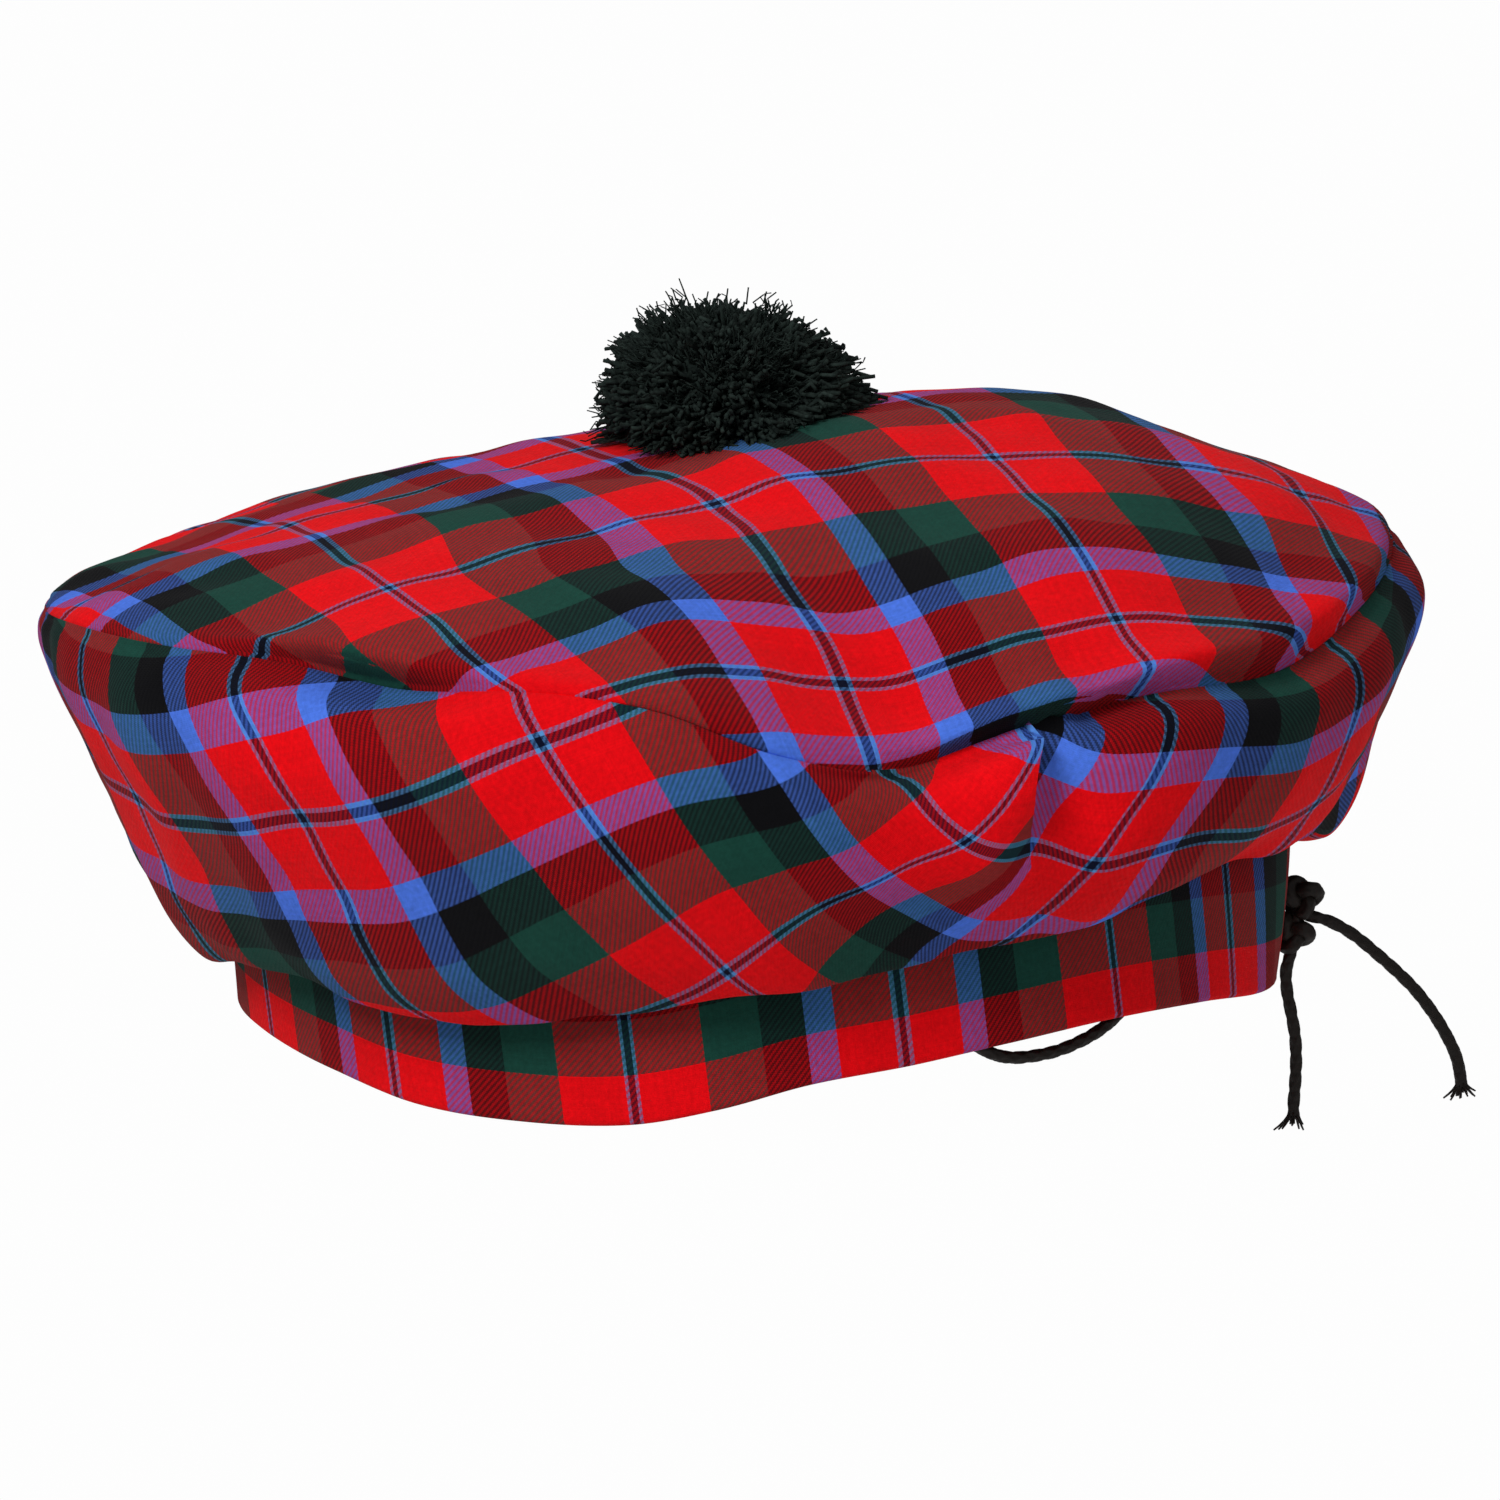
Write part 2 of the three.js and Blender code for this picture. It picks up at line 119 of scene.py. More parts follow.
world = bpy.data.worlds.new("surround")
bpy.context.scene.world = world
world.use_nodes = True
surround = world.node_tree
sky = wired(surround, surround.nodes["Background"], {"Color": (1, 1, 1, 1), "Strength": SURROUND_LIGHT})
lit_and_seen(surround, sky, surround.nodes["World Output"])

FLOOR_DEPTH = -0.34
FLOOR_HALF = 18
PAPER_GREY = (0.75, 0.75, 0.75, 1)
floor_mesh = bpy.data.meshes.new("floor")
floor_corners = [(-1, -1), (1, -1), (1, 1), (-1, 1)]
floor_mesh.from_pydata(
    [(x * FLOOR_HALF, y * FLOOR_HALF, FLOOR_DEPTH) for x, y in floor_corners], [], [(0, 1, 2, 3)])
floor = set_up("floor", floor_mesh)
paper, paper_tree, paper_shader = new_finish("white_paper")
wired(paper_tree, paper_shader, {"Base Color": PAPER_GREY, "Roughness": 0.9})
lit_and_seen(paper_tree, paper_shader, paper_tree.nodes["Material Output"])
floor_mesh.materials.append(paper)

# The lace. One thin braided cord runs inside the band: both ends come out at the back and are
# drawn into a double knot, their cut ends have begun to fray, and a slack stretch of it hangs
# below the band on the bonnet's right side. The routes are x, y, z along the middle of the cord.
LACE_DIAMETER = 0.0023
LACE_SIDES = 24
LACE_STEP = 0.00022
BRAID_TURN = 0.0034
BRAID_STRANDS = 8
BRAID_RELIEF = 0.00012
# A direction that no strand or cord here runs in, to set a cord's first side by.
ASKEW = (0.31, 0.84, 0.43)
LONG_END = [
    (0.1025, 0.0032, -0.0012), (0.105, 0.0035, -0.0029), (0.1076, 0.0039, -0.0052),
    (0.1106, 0.0043, -0.0085), (0.114, 0.0049, -0.0125), (0.1172, 0.0055, -0.0168),
    (0.12, 0.0061, -0.0218), (0.122, 0.0066, -0.0265), (0.1232, 0.007, -0.0306),
    (0.1235, 0.0073, -0.0352), (0.1232, 0.0074, -0.0388),
]
SHORT_END = [
    (0.0953, 0.0028, -0.0064), (0.0942, 0.0027, -0.0092), (0.0939, 0.0026, -0.013),
    (0.0942, 0.0025, -0.0174), (0.0944, 0.0024, -0.0217), (0.0941, 0.0023, -0.026),
    (0.0934, 0.0022, -0.0305), (0.0927, 0.0021, -0.0342), (0.0924, 0.002, -0.0374),
]
BAND_LOOP = [
    (0.0294, -0.0858, 0.014), (0.0288, -0.0842, 0.0136), (0.0293, -0.0832, 0.0119),
    (0.0312, -0.0827, 0.009), (0.034, -0.082, 0.0056), (0.0372, -0.0808, 0.0026),
    (0.0402, -0.0793, 0.0007), (0.0438, -0.0772, -0.0004), (0.0492, -0.0739, -0.0009),
    (0.054, -0.0708, -0.0004), (0.058, -0.0677, 0.0006), (0.0616, -0.0646, 0.0024),
    (0.0646, -0.0612, 0.0052), (0.0664, -0.0586, 0.0086), (0.0674, -0.057, 0.0116),
    (0.0682, -0.0572, 0.0137), (0.0695, -0.0583, 0.0142),
]


def smooth_between(a, b, c, d, t):
    """The smooth curve through four places, at the second where t is 0 and the third where it is 1."""
    return 0.5 * (2 * b + (c - a) * t + (2 * a - 5 * b + 4 * c - d) * t ** 2
                  + (3 * b - a - 3 * c + d) * t ** 3)


def smooth_route(points, step):
    """Points a step apart on the smooth curve through the given ones."""
    points = np.array(points, float)
    ends = np.vstack([2 * points[0] - points[1], points, 2 * points[-1] - points[-2]])
    route = []
    for i in range(1, len(ends) - 2):
        near = ends[i - 1:i + 3]
        steps = max(2, int(np.linalg.norm(near[2] - near[1]) / step))
        route += [smooth_between(*near, t) for t in np.linspace(0, 1, steps, endpoint=False)]
    return np.array(route + [points[-1]])


def frames_along(route):
    """The direction of a route at each point, and two directions across it that never twist."""
    along = np.gradient(route, axis=0)
    along /= np.linalg.norm(along, axis=1, keepdims=True)
    side = np.cross(along[0], ASKEW)
    sides = []
    for direction in along:
        side = side - direction * side.dot(direction)
        side /= np.linalg.norm(side)
        sides.append(side)
    sides = np.array(sides)
    return along, sides, np.cross(along, sides)


def tube_faces(rings, sides, starts=(0,)):
    """The faces of closed tubes, walls and ends: each tube is so many rings of vertices one after
    the other, from its own first vertex."""
    k = np.arange(sides)
    n = (k + 1) % sides
    first = np.array(starts)[:, None, None]
    here = first + np.arange(rings - 1)[:, None] * sides
    walls = np.stack([here + k, here + n, here + sides + n, here + sides + k], axis=-1)
    tips = first[:, 0] + (rings - 1) * sides + k
    roots = first[:, 0] + k[::-1]
    return walls.reshape(-1, 4).tolist() + tips.tolist() + roots.tolist()


def braided_tube(points, diameter, frayed=0):
    """The vertices and faces of a round braided cord along a route that ends short by the frayed
    length, and the route itself."""
    route = smooth_route(points, LACE_STEP)
    length = np.concatenate([[0], np.cumsum(np.linalg.norm(np.diff(route, axis=0), axis=1))])
    braided = length <= length[-1] - frayed
    route, length = route[braided], length[braided]
    along, across, other = frames_along(route)
    angle = np.linspace(0, 2 * math.pi, LACE_SIDES, endpoint=False)
    twist = 2 * math.pi * length[:, None] / BRAID_TURN
    half = BRAID_STRANDS / 2
    left = np.cos(half * (angle[None, :] + twist / half))
    right = np.cos(half * (angle[None, :] - twist / half))
    relief = BRAID_RELIEF * (np.maximum(left, right) - 1)
    radius = diameter / 2 + relief
    ring = across[:, None] * np.cos(angle)[:, None] + other[:, None] * np.sin(angle)[:, None]
    vertices = (route[:, None] + ring * radius[..., None]).reshape(-1, 3)
    return vertices, tube_faces(len(route), LACE_SIDES), route


def piece_of(name, vertices, faces, material):
    """A smooth-shaded object from vertices and faces, riding with the bonnet."""
    mesh = bpy.data.meshes.new(name)
    mesh.from_pydata(vertices.tolist(), [], faces)
    mesh.polygons.foreach_set("use_smooth", [True] * len(mesh.polygons))
    mesh.materials.append(material)
    mesh.validate()
    mesh.update()
    piece = set_up(name, mesh)
    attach(piece, "root")
    return piece


def joined(parts):
    """Several sets of vertices and faces as one."""
    vertices, faces, count = [], [], 0
    for part_vertices, part_faces in parts:
        vertices.append(part_vertices)
        faces.extend(tuple(i + count for i in face) for face in part_faces)
        count += len(part_vertices)
    return np.vstack(vertices), faces


def strands(paths, root, tip, sides):
    """Tapered strands, one along each path of a few points."""
    paths = np.array(paths, float)
    count, points = paths.shape[:2]
    along = np.gradient(paths, axis=1)
    along /= np.linalg.norm(along, axis=2, keepdims=True)
    across = np.cross(along, ASKEW)
    across /= np.linalg.norm(across, axis=2, keepdims=True)
    other = np.cross(along, across)
    angle = np.linspace(0, 2 * math.pi, sides, endpoint=False)
    ring = across[:, :, None] * np.cos(angle)[:, None] + other[:, :, None] * np.sin(angle)[:, None]
    thick = np.linspace(root, tip, points)[:, None, None]
    vertices = (paths[:, :, None] + ring * thick).reshape(-1, 3)
    return vertices, tube_faces(points, sides, np.arange(count) * points * sides)


def unevenness(tree, scale, detail):
    """The output of a fine noise that runs through the whole piece."""
    place = tree.nodes.new("ShaderNodeTexCoord").outputs["Object"]
    noise = tree.nodes.new("ShaderNodeTexNoise")
    return wired(tree, noise, {"Scale": scale, "Detail": detail, "Vector": place}).outputs["Fac"]


GRAIN_DEPTH = 0.0001


def grained(tree, shader, height, strength):
    """Lets the height of fibres or threads show on a shader as a fine grain."""
    bump = tree.nodes.new("ShaderNodeBump")
    wired(tree, bump, {"Strength": strength, "Distance": GRAIN_DEPTH, "Height": height})
    wired(tree, shader, {"Normal": bump.outputs["Normal"]})


def fibre_finish(name, scale, detail, shades, roughness, specular, grain=0):
    """Fine fibres between two shades, each at its place on the noise, with a grain that stands up."""
    finish, tree, shader = new_finish(name)
    fibre = unevenness(tree, scale, detail)
    ramp = tree.nodes.new("ShaderNodeValToRGB")
    for stop, (position, colour) in zip(ramp.color_ramp.elements, shades):
        stop.position = position
        stop.color = (*colour, 1)
    wired(tree, ramp, {"Fac": fibre})
    if grain:
        grained(tree, shader, fibre, grain)
    wired(tree, shader, {"Base Color": ramp.outputs["Color"], "Roughness": roughness})
    shader.inputs["Specular IOR Level"].default_value = specular
    return finish


# Near-black waxed braid: brown-black fibres with a slight gloss on the strands.
LACE_SHADES = [(0, (0.002, 0.0014, 0.0011)), (1, (0.017, 0.011, 0.008))]
lace_material = fibre_finish(
    "lace_braid", 1800, 3, LACE_SHADES, roughness=0.55, specular=0.22, grain=0.5)

FRAY_STRANDS = 14
FRAY_LENGTH = 0.0032
FRAY_RADIUS = 0.00034
FRAY_ROOT = 0.0006
FRAY_RING = 0.33 * LACE_DIAMETER
# How far a frayed strand strays round the ring, how much of the full length it has, how wide it
# opens, how sharply it bends as it does, and how much of its thickness is left at its tip.
FRAY_STRAY = 0.3
FRAY_LENGTHS = (0.55, 1.1)
FRAY_OPENINGS = (0.1, 1)
FRAY_BEND = 1.6
FRAY_TAPER = 0.5


def frayed_tip(name, route, seed):
    """The cut end of the braid: its strands fan out and bend back a little."""
    chance = np.random.default_rng(seed)
    along, across, other = frames_along(route)
    tip, direction = route[-1], along[-1]
    paths = []
    for k in range(FRAY_STRANDS):
        around = 2 * math.pi * (k + chance.uniform(-FRAY_STRAY, FRAY_STRAY)) / FRAY_STRANDS
        out = across[-1] * math.cos(around) + other[-1] * math.sin(around)
        reach = FRAY_LENGTH * chance.uniform(*FRAY_LENGTHS)
        opening = reach * chance.uniform(*FRAY_OPENINGS)
        start = tip - direction * FRAY_ROOT + out * FRAY_RING
        paths.append([start + direction * reach * t + out * opening * t ** FRAY_BEND
                      for t in (0, 0.25, 0.5, 0.75, 1)])
    fray = piece_of(name, *strands(paths, FRAY_RADIUS, FRAY_RADIUS * FRAY_TAPER, sides=5), lace_material)
    return fray


KNOT_LOBES = [
    {"centre": (0.0984, 0.003, 0.0037), "size": 0.0044, "tilt": 20, "turn": 0},
    {"centre": (0.0962, 0.003, -0.0027), "size": 0.0042, "tilt": -25, "turn": 50},
]
KNOT_CORD = 0.003
KNOT_TAIL = 0.98 * LACE_DIAMETER
KNOT_POINTS = 36
KNOT_WAIST = (0.0985, 0.003, 0.0004)
# How far the middle of a trefoil's cord reaches out and to each side, before it is made a lobe.
TREFOIL_REACH = 3
TREFOIL_DEPTH = 1.25
STUB_REACH = 0.0052
STUB_WAVE = 0.0004


def drawn_knot():
    """Two overhand knots pulled tight on each other, and the ends of cord that run into them."""
    cords = []
    for lobe in KNOT_LOBES:
        spin = Matrix.Identity(3)
        for degrees, axis in ((lobe["tilt"], "Y"), (90, "X"), (lobe["turn"], "Z")):
            spin = spin @ Matrix.Rotation(math.radians(degrees), 3, axis)
        scale = (lobe["size"] - KNOT_CORD / 2) / TREFOIL_REACH
        centre = Vector(lobe["centre"])
        trefoil = []
        for t in np.linspace(0, 2 * math.pi, KNOT_POINTS):
            x = math.sin(t) + 2 * math.sin(2 * t)
            y = math.cos(t) - 2 * math.cos(2 * t)
            z = -TREFOIL_DEPTH * math.sin(3 * t)
            trefoil.append(centre + spin @ Vector((x, y, z)) * scale)
        stub = [centre + Vector((-STUB_REACH * t, STUB_WAVE * math.sin(3 * t), 0)) for t in (0, 0.5, 1)]
        cords += [(trefoil, KNOT_CORD), (stub, KNOT_CORD)]
    middles = [Vector(lobe["centre"]) for lobe in KNOT_LOBES]
    cords += [
        (middles, KNOT_CORD),
        ([KNOT_WAIST, *LONG_END[:2]], KNOT_TAIL),
        ([middles[1], *SHORT_END[:2]], KNOT_TAIL),
    ]
    parts = [braided_tube(*cord)[:2] for cord in cords]
    return piece_of("lace_knot_drawn", *joined(parts), lace_material)


knot = drawn_knot()
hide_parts("lace_knot")

# The stretches of the lace that show, each with its length and how much of that has frayed.
LACE_STRETCHES = [
    {"braid": "lace_long_braid", "node": "lace_end_long", "points": LONG_END, "length": 0.045,
     "frayed": 0.003, "fray": "lace_long_fray", "seed": 11, "far_end": "bare", "tied": [knot]},
    {"braid": "lace_short_braid", "node": "lace_end_short", "points": SHORT_END, "length": 0.0315,
     "frayed": 0.0013, "fray": "lace_short_fray", "seed": 12, "far_end": "bare", "tied": []},
    {"braid": "lace_loop_braid", "node": "lace_loop", "points": BAND_LOOP, "length": 0.0645,
     "frayed": 0, "far_end": "object", "tied": []},
]
for stretch in LACE_STRETCHES:
    vertices, faces, route = braided_tube(stretch["points"], LACE_DIAMETER, stretch["frayed"])
    braid = piece_of(stretch["braid"], vertices, faces, lace_material)
    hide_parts(stretch["node"])
    beside = stretch["tied"]
    if stretch["frayed"]:
        beside = [frayed_tip(stretch["fray"], route, stretch["seed"]), *beside]

# The crown's top. A round of worsted tartan, domed a little and sunk into soft hollows towards the
# rim, cut on the slant of the pattern and sewn face to face to the side panel, so that its edge
# rolls down into the seam.
CROWN_HEIGHT = 0.102
CLOTH_WALL = 0.0016
SEAM_GAP = 0.0003
TUCK_ZONE = 0.07
TOP_FOLD_END = 0.12
# The shape all round: the rim seam, how the top falls to it, the fullest point of the side, its
# lower part, the fold over the band and the band's lower edge, out from the axis and up.
SECTION_COLUMNS = (
    "azimuth", "rim_out", "rim_up", "slope", "round", "tuck", "belly_out", "belly_up",
    "low_out", "low_up", "fold_out", "fold_up", "band_out", "band_low", "lean",
)
SECTIONS = [
    (-180, 0.118, 0.068, 0.42, 3.2, 0.001, 0.121, 0.054, 0.113, 0.034, 0.102, 0.021, 0.094, 0.002, 0.0005),
    (-155, 0.119, 0.073, 0.45, 3.2, 0.001, 0.121, 0.058, 0.113, 0.036, 0.101, 0.021, 0.094, 0.005, 0),
    (-130, 0.121, 0.078, 0.4, 3.4, 0.001, 0.122, 0.064, 0.113, 0.04, 0.099, 0.022, 0.094, 0.008, 0),
    (-105, 0.121, 0.083, 0.28, 3.4, 0.001, 0.121, 0.07, 0.112, 0.045, 0.098, 0.022, 0.093, 0.009, 0),
    (-88, 0.121, 0.086, 0.28, 3.4, 0.001, 0.12, 0.073, 0.1105, 0.045, 0.0995, 0.022, 0.093, 0.01, -0.0008),
    (-72, 0.121, 0.089, 0.24, 3.4, 0.001, 0.1205, 0.074, 0.112, 0.047, 0.101, 0.025, 0.094, 0.01, 0),
    (-55, 0.12, 0.089, 0.24, 3.6, 0.002, 0.1215, 0.072, 0.114, 0.046, 0.101, 0.0275, 0.094, 0.0068, 0),
    (-42, 0.119, 0.088, 0.22, 3.6, 0.0035, 0.123, 0.069, 0.115, 0.043, 0.101, 0.023, 0.094, 0.0026, 0),
    (-30, 0.118, 0.084, 0.25, 3.6, 0.003, 0.123, 0.067, 0.114, 0.04, 0.101, 0.02, 0.094, 0.0004, 0),
    (-16, 0.118, 0.082, 0.25, 3.4, 0.001, 0.122, 0.063, 0.113, 0.037, 0.101, 0.02, 0.094, -0.001, 0),
    (-6, 0.118, 0.077, 0.2, 3.2, 0.0005, 0.121, 0.059, 0.113, 0.037, 0.101, 0.0225, 0.094, 0.0005, 0),
    (4, 0.117, 0.0665, 0.12, 3, 0.0005, 0.12, 0.054, 0.113, 0.036, 0.101, 0.022, 0.094, 0.003, 0),
    (15, 0.114, 0.0595, 0, 3, 0.0015, 0.118, 0.051, 0.113, 0.036, 0.101, 0.023, 0.094, 0.0035, 0),
    (26, 0.119, 0.064, 0, 3, 0.0025, 0.117, 0.052, 0.113, 0.035, 0.101, 0.0235, 0.094, 0.0038, 0),
    (40, 0.122, 0.065, 0, 3.2, 0.003, 0.12, 0.052, 0.114, 0.035, 0.101, 0.0235, 0.094, 0.003, 0),
    (56, 0.123, 0.0615, 0, 3.3, 0.002, 0.122, 0.051, 0.115, 0.034, 0.101, 0.024, 0.0945, -0.0005, 0.001),
    (72, 0.1245, 0.065, 0.04, 3.6, 0.001, 0.124, 0.051, 0.114, 0.034, 0.102, 0.021, 0.0965, -0.0055, 0.003),
    (88, 0.1255, 0.068, 0, 3.4, 0.001, 0.125, 0.055, 0.112, 0.033, 0.103, 0.018, 0.0993, -0.0085, 0.0075),
    (110, 0.124, 0.067, 0, 3.2, 0.001, 0.123, 0.047, 0.12, 0.02, 0.11, 0.006, 0.098, -0.006, 0.006),
    (135, 0.121, 0.065, 0.12, 3.2, 0.001, 0.122, 0.046, 0.116, 0.024, 0.105, 0.009, 0.0955, -0.003, 0.003),
    (158, 0.119, 0.065, 0.28, 3.2, 0.001, 0.122, 0.05, 0.115, 0.03, 0.103, 0.016, 0.0945, 0, 0.001),
]
# Soft valleys (depth above 0) and ridges (below 0): from and full are shares of the way out.
TOP_FOLDS = [
    {"azimuth": 15, "width": 9, "from": 0.45, "full": 0.92, "depth": 0.003},
    {"azimuth": 0, "width": 8, "from": 0.5, "full": 0.9, "depth": -0.003},
    {"azimuth": 34, "width": 12, "from": 0.4, "full": 0.62, "depth": 0.005},
    {"azimuth": 116, "width": 22, "from": 0.45, "full": 0.78, "depth": 0.005},
]


def section(name, azimuth):
    """The named column at each azimuth: a smooth closed curve through the sections."""
    column = SECTION_COLUMNS.index(name)
    at = np.array([row[0] for row in SECTIONS], float)
    value = np.array([row[column] for row in SECTIONS], float)
    at = np.concatenate([at[-2:] - 360, at, at[:2] + 360])
    value = np.concatenate([value[-2:], value, value[:2]])
    lean = np.zeros(len(at))
    lean[1:-1] = (value[2:] - value[:-2]) / (at[2:] - at[:-2])
    around = np.mod(np.asarray(azimuth, float) + 180, 360) - 180
    i = np.searchsorted(at, around, side="right") - 1
    span = at[i + 1] - at[i]
    t = (around - at[i]) / span
    return (
        (2 * t ** 3 - 3 * t ** 2 + 1) * value[i]
        + (t ** 3 - 2 * t ** 2 + t) * span * lean[i]
        + (3 * t ** 2 - 2 * t ** 3) * value[i + 1]
        + (t ** 3 - t ** 2) * span * lean[i + 1]
    )


def ease(t):
    """0 below 0, 1 above 1, and a smooth ramp between."""
    t = np.clip(t, 0, 1)
    return t * t * (3 - 2 * t)


def bell(distance, width):
    """A bell of height 1 round 0."""
    return np.exp(-0.5 * (distance / width) ** 2)


def turn(start, end):
    """The shorter way from one azimuth to another."""
    return np.mod(end - start + 180, 360) - 180


def polar(azimuth, out, up):
    """Points at a distance out from the axis, at an azimuth and a height."""
    a = np.radians(azimuth)
    x, y, z = np.broadcast_arrays(out * np.sin(a), -out * np.cos(a), up)
    return np.stack([x, y, z], axis=-1)


def top_point(azimuth, share):
    """The upper face of the crown's top, share 0 at its middle and 1 at the rim seam."""
    slope = section("slope", azimuth)
    fall = slope * share + (1 - slope) * share ** section("round", azimuth)
    drop = (CROWN_HEIGHT - section("rim_up", azimuth)) * fall
    dent = 0
    for fold in TOP_FOLDS:
        along = ease((share - fold["from"]) / (fold["full"] - fold["from"]))
        end = np.sqrt(np.clip((1 - share) / TOP_FOLD_END, 0, 1))
        dent = dent + fold["depth"] * bell(turn(fold["azimuth"], azimuth), fold["width"]) * along * end
    tuck = section("tuck", azimuth) * ease((share - 1 + TUCK_ZONE) / TUCK_ZONE)
    return polar(azimuth, section("rim_out", azimuth) * share - tuck, CROWN_HEIGHT - drop - dent)


# Small unevenness of worn cloth: a few long soft waves, as length, height and number of them.
RUMPLES = [
    {"length": 0.055, "height": 0.00045, "count": 4},
    {"length": 0.026, "height": 0.00022, "count": 5},
    {"length": 0.013, "height": 0.00008, "count": 6},
]


def rumple(points, seed):
    """How far worn cloth stands off its smooth shape, at each point."""
    chance = np.random.default_rng(seed)
    total = 0
    for wave in RUMPLES:
        for _ in range(wave["count"]):
            way = chance.normal(size=3)
            way *= 2 * math.pi / wave["length"] / np.linalg.norm(way)
            total = total + wave["height"] * np.sin(points @ way + chance.uniform(0, 2 * math.pi))
    return total


def outward(points):
    """The unit normal of a grid of points, rows down and columns round."""
    down = np.gradient(points, axis=0)
    across = np.gradient(points, axis=1)
    normal = np.cross(across, down)
    return -normal / np.maximum(np.linalg.norm(normal, axis=-1, keepdims=True), 1e-12)


def distance_down(points):
    """The distance along the cloth from the first row of a grid to each of its points."""
    steps = np.linalg.norm(np.diff(points, axis=0), axis=-1)
    return np.concatenate([np.zeros((1, points.shape[1])), np.cumsum(steps, axis=0)])


def cloth_panel(name, outer, inner, sett, material, right_sett=None, right_columns=None):
    """A panel with an outer and an inner face. Grids have a first column repeated as the last one.
    sett is the place of each point in the woven cloth; where right_columns says so, right_sett."""
    rows, columns = outer.shape[0], outer.shape[1] - 1
    vertices = np.vstack([outer[:, :-1].reshape(-1, 3), inner[:, :-1].reshape(-1, 3)])
    r, c = np.indices((rows - 1, columns)).reshape(2, -1)
    e = np.arange(columns)
    # The corners of the faces outside, inside, at the first edge and at the last one, each corner
    # as its side of the cloth, its row and its column.
    quads = [
        [(0, r, c), (0, r + 1, c), (0, r + 1, c + 1), (0, r, c + 1)],
        [(1, r, c + 1), (1, r + 1, c + 1), (1, r + 1, c), (1, r, c)],
        [(0, 0, e + 1), (1, 0, e + 1), (1, 0, e), (0, 0, e)],
        [(0, rows - 1, e), (1, rows - 1, e), (1, rows - 1, e + 1), (0, rows - 1, e + 1)],
    ]
    corners = [[np.broadcast_arrays(*corner) for corner in quad] for quad in quads]
    side, row, column = np.concatenate([np.moveaxis(np.array(quad), 0, -1) for quad in corners], axis=1)
    faces = (side * rows + row) * columns + column % columns
    place = sett[row, column]
    if right_columns is not None:
        of_right = right_columns[column.min(axis=1)]
        place[of_right] = right_sett[row, column][of_right]
    panel = piece_of(name, vertices, faces.tolist(), material)
    layer = panel.data.uv_layers.new(name="sett")
    layer.data.foreach_set("uv", place.reshape(-1, 2).astype(np.float32).ravel())
    return panel


# The woven sett, in metres of the band's cloth: the stripes of half a repeat, from the middle of
# one thin line to the middle of the next. Warp and weft hold the same stripes, and a 2/2 twill
# lays two threads over two, which mixes them along fine slanting lines.
NAVY = (0.002, 0.004, 0.018)
AZURE = (0.09, 0.27, 0.6)
RED = (0.8, 0.0015, 0.005)
BLUE = (0.07, 0.18, 0.75)
BLACK = (0.003, 0.003, 0.004)
GREEN = (0.008, 0.055, 0.04)
HALF_SETT = [
    (NAVY, 0.00065), (AZURE, 0.00075), (RED, 0.0101), (BLUE, 0.005), (BLACK, 0.0076),
    (GREEN, 0.0098), (RED, 0.0115), (AZURE, 0.00075), (NAVY, 0.00065),
]
HALF_SETT_LENGTH = sum(width for _, width in HALF_SETT)
# How much the thread on top shows over the blend of both, how much the weave stands up, the darkest
# that a thread's dye comes, how much brighter the brightest is, and the soft mottles of the nap.
TOP_THREAD_SHOWS = 0.28
WEAVE_SHOWS = 0.55
DARKEST_DYE = 0.9
DYE_SPREAD = 0.14
MOTTLES = [{"scale": 60, "depth": 0.24}, {"scale": 1100, "depth": 0.5}]


def calculated(tree, operation, *values):
    """The output of one sum in a finish: each value is a number or another output."""
    node = tree.nodes.new("ShaderNodeMath")
    node.operation = operation
    return wired(tree, node, dict(enumerate(values))).outputs[0]


def mixed(tree, share, first, second, way="MIX"):
    """The output of a colour mix."""
    node = tree.nodes.new("ShaderNodeMix")
    node.data_type = "RGBA"
    node.blend_type = way
    return wired(tree, node, {0: share, 6: first, 7: second}).outputs[2]


def powered(tree, colour, power):
    """A colour raised to a power."""
    node = tree.nodes.new("ShaderNodeGamma")
    return wired(tree, node, {"Color": colour, "Gamma": power}).outputs["Color"]


def grey(tree, value):
    """A grey of that value."""
    node = tree.nodes.new("ShaderNodeCombineColor")
    return wired(tree, node, {0: value, 1: value, 2: value}).outputs[0]


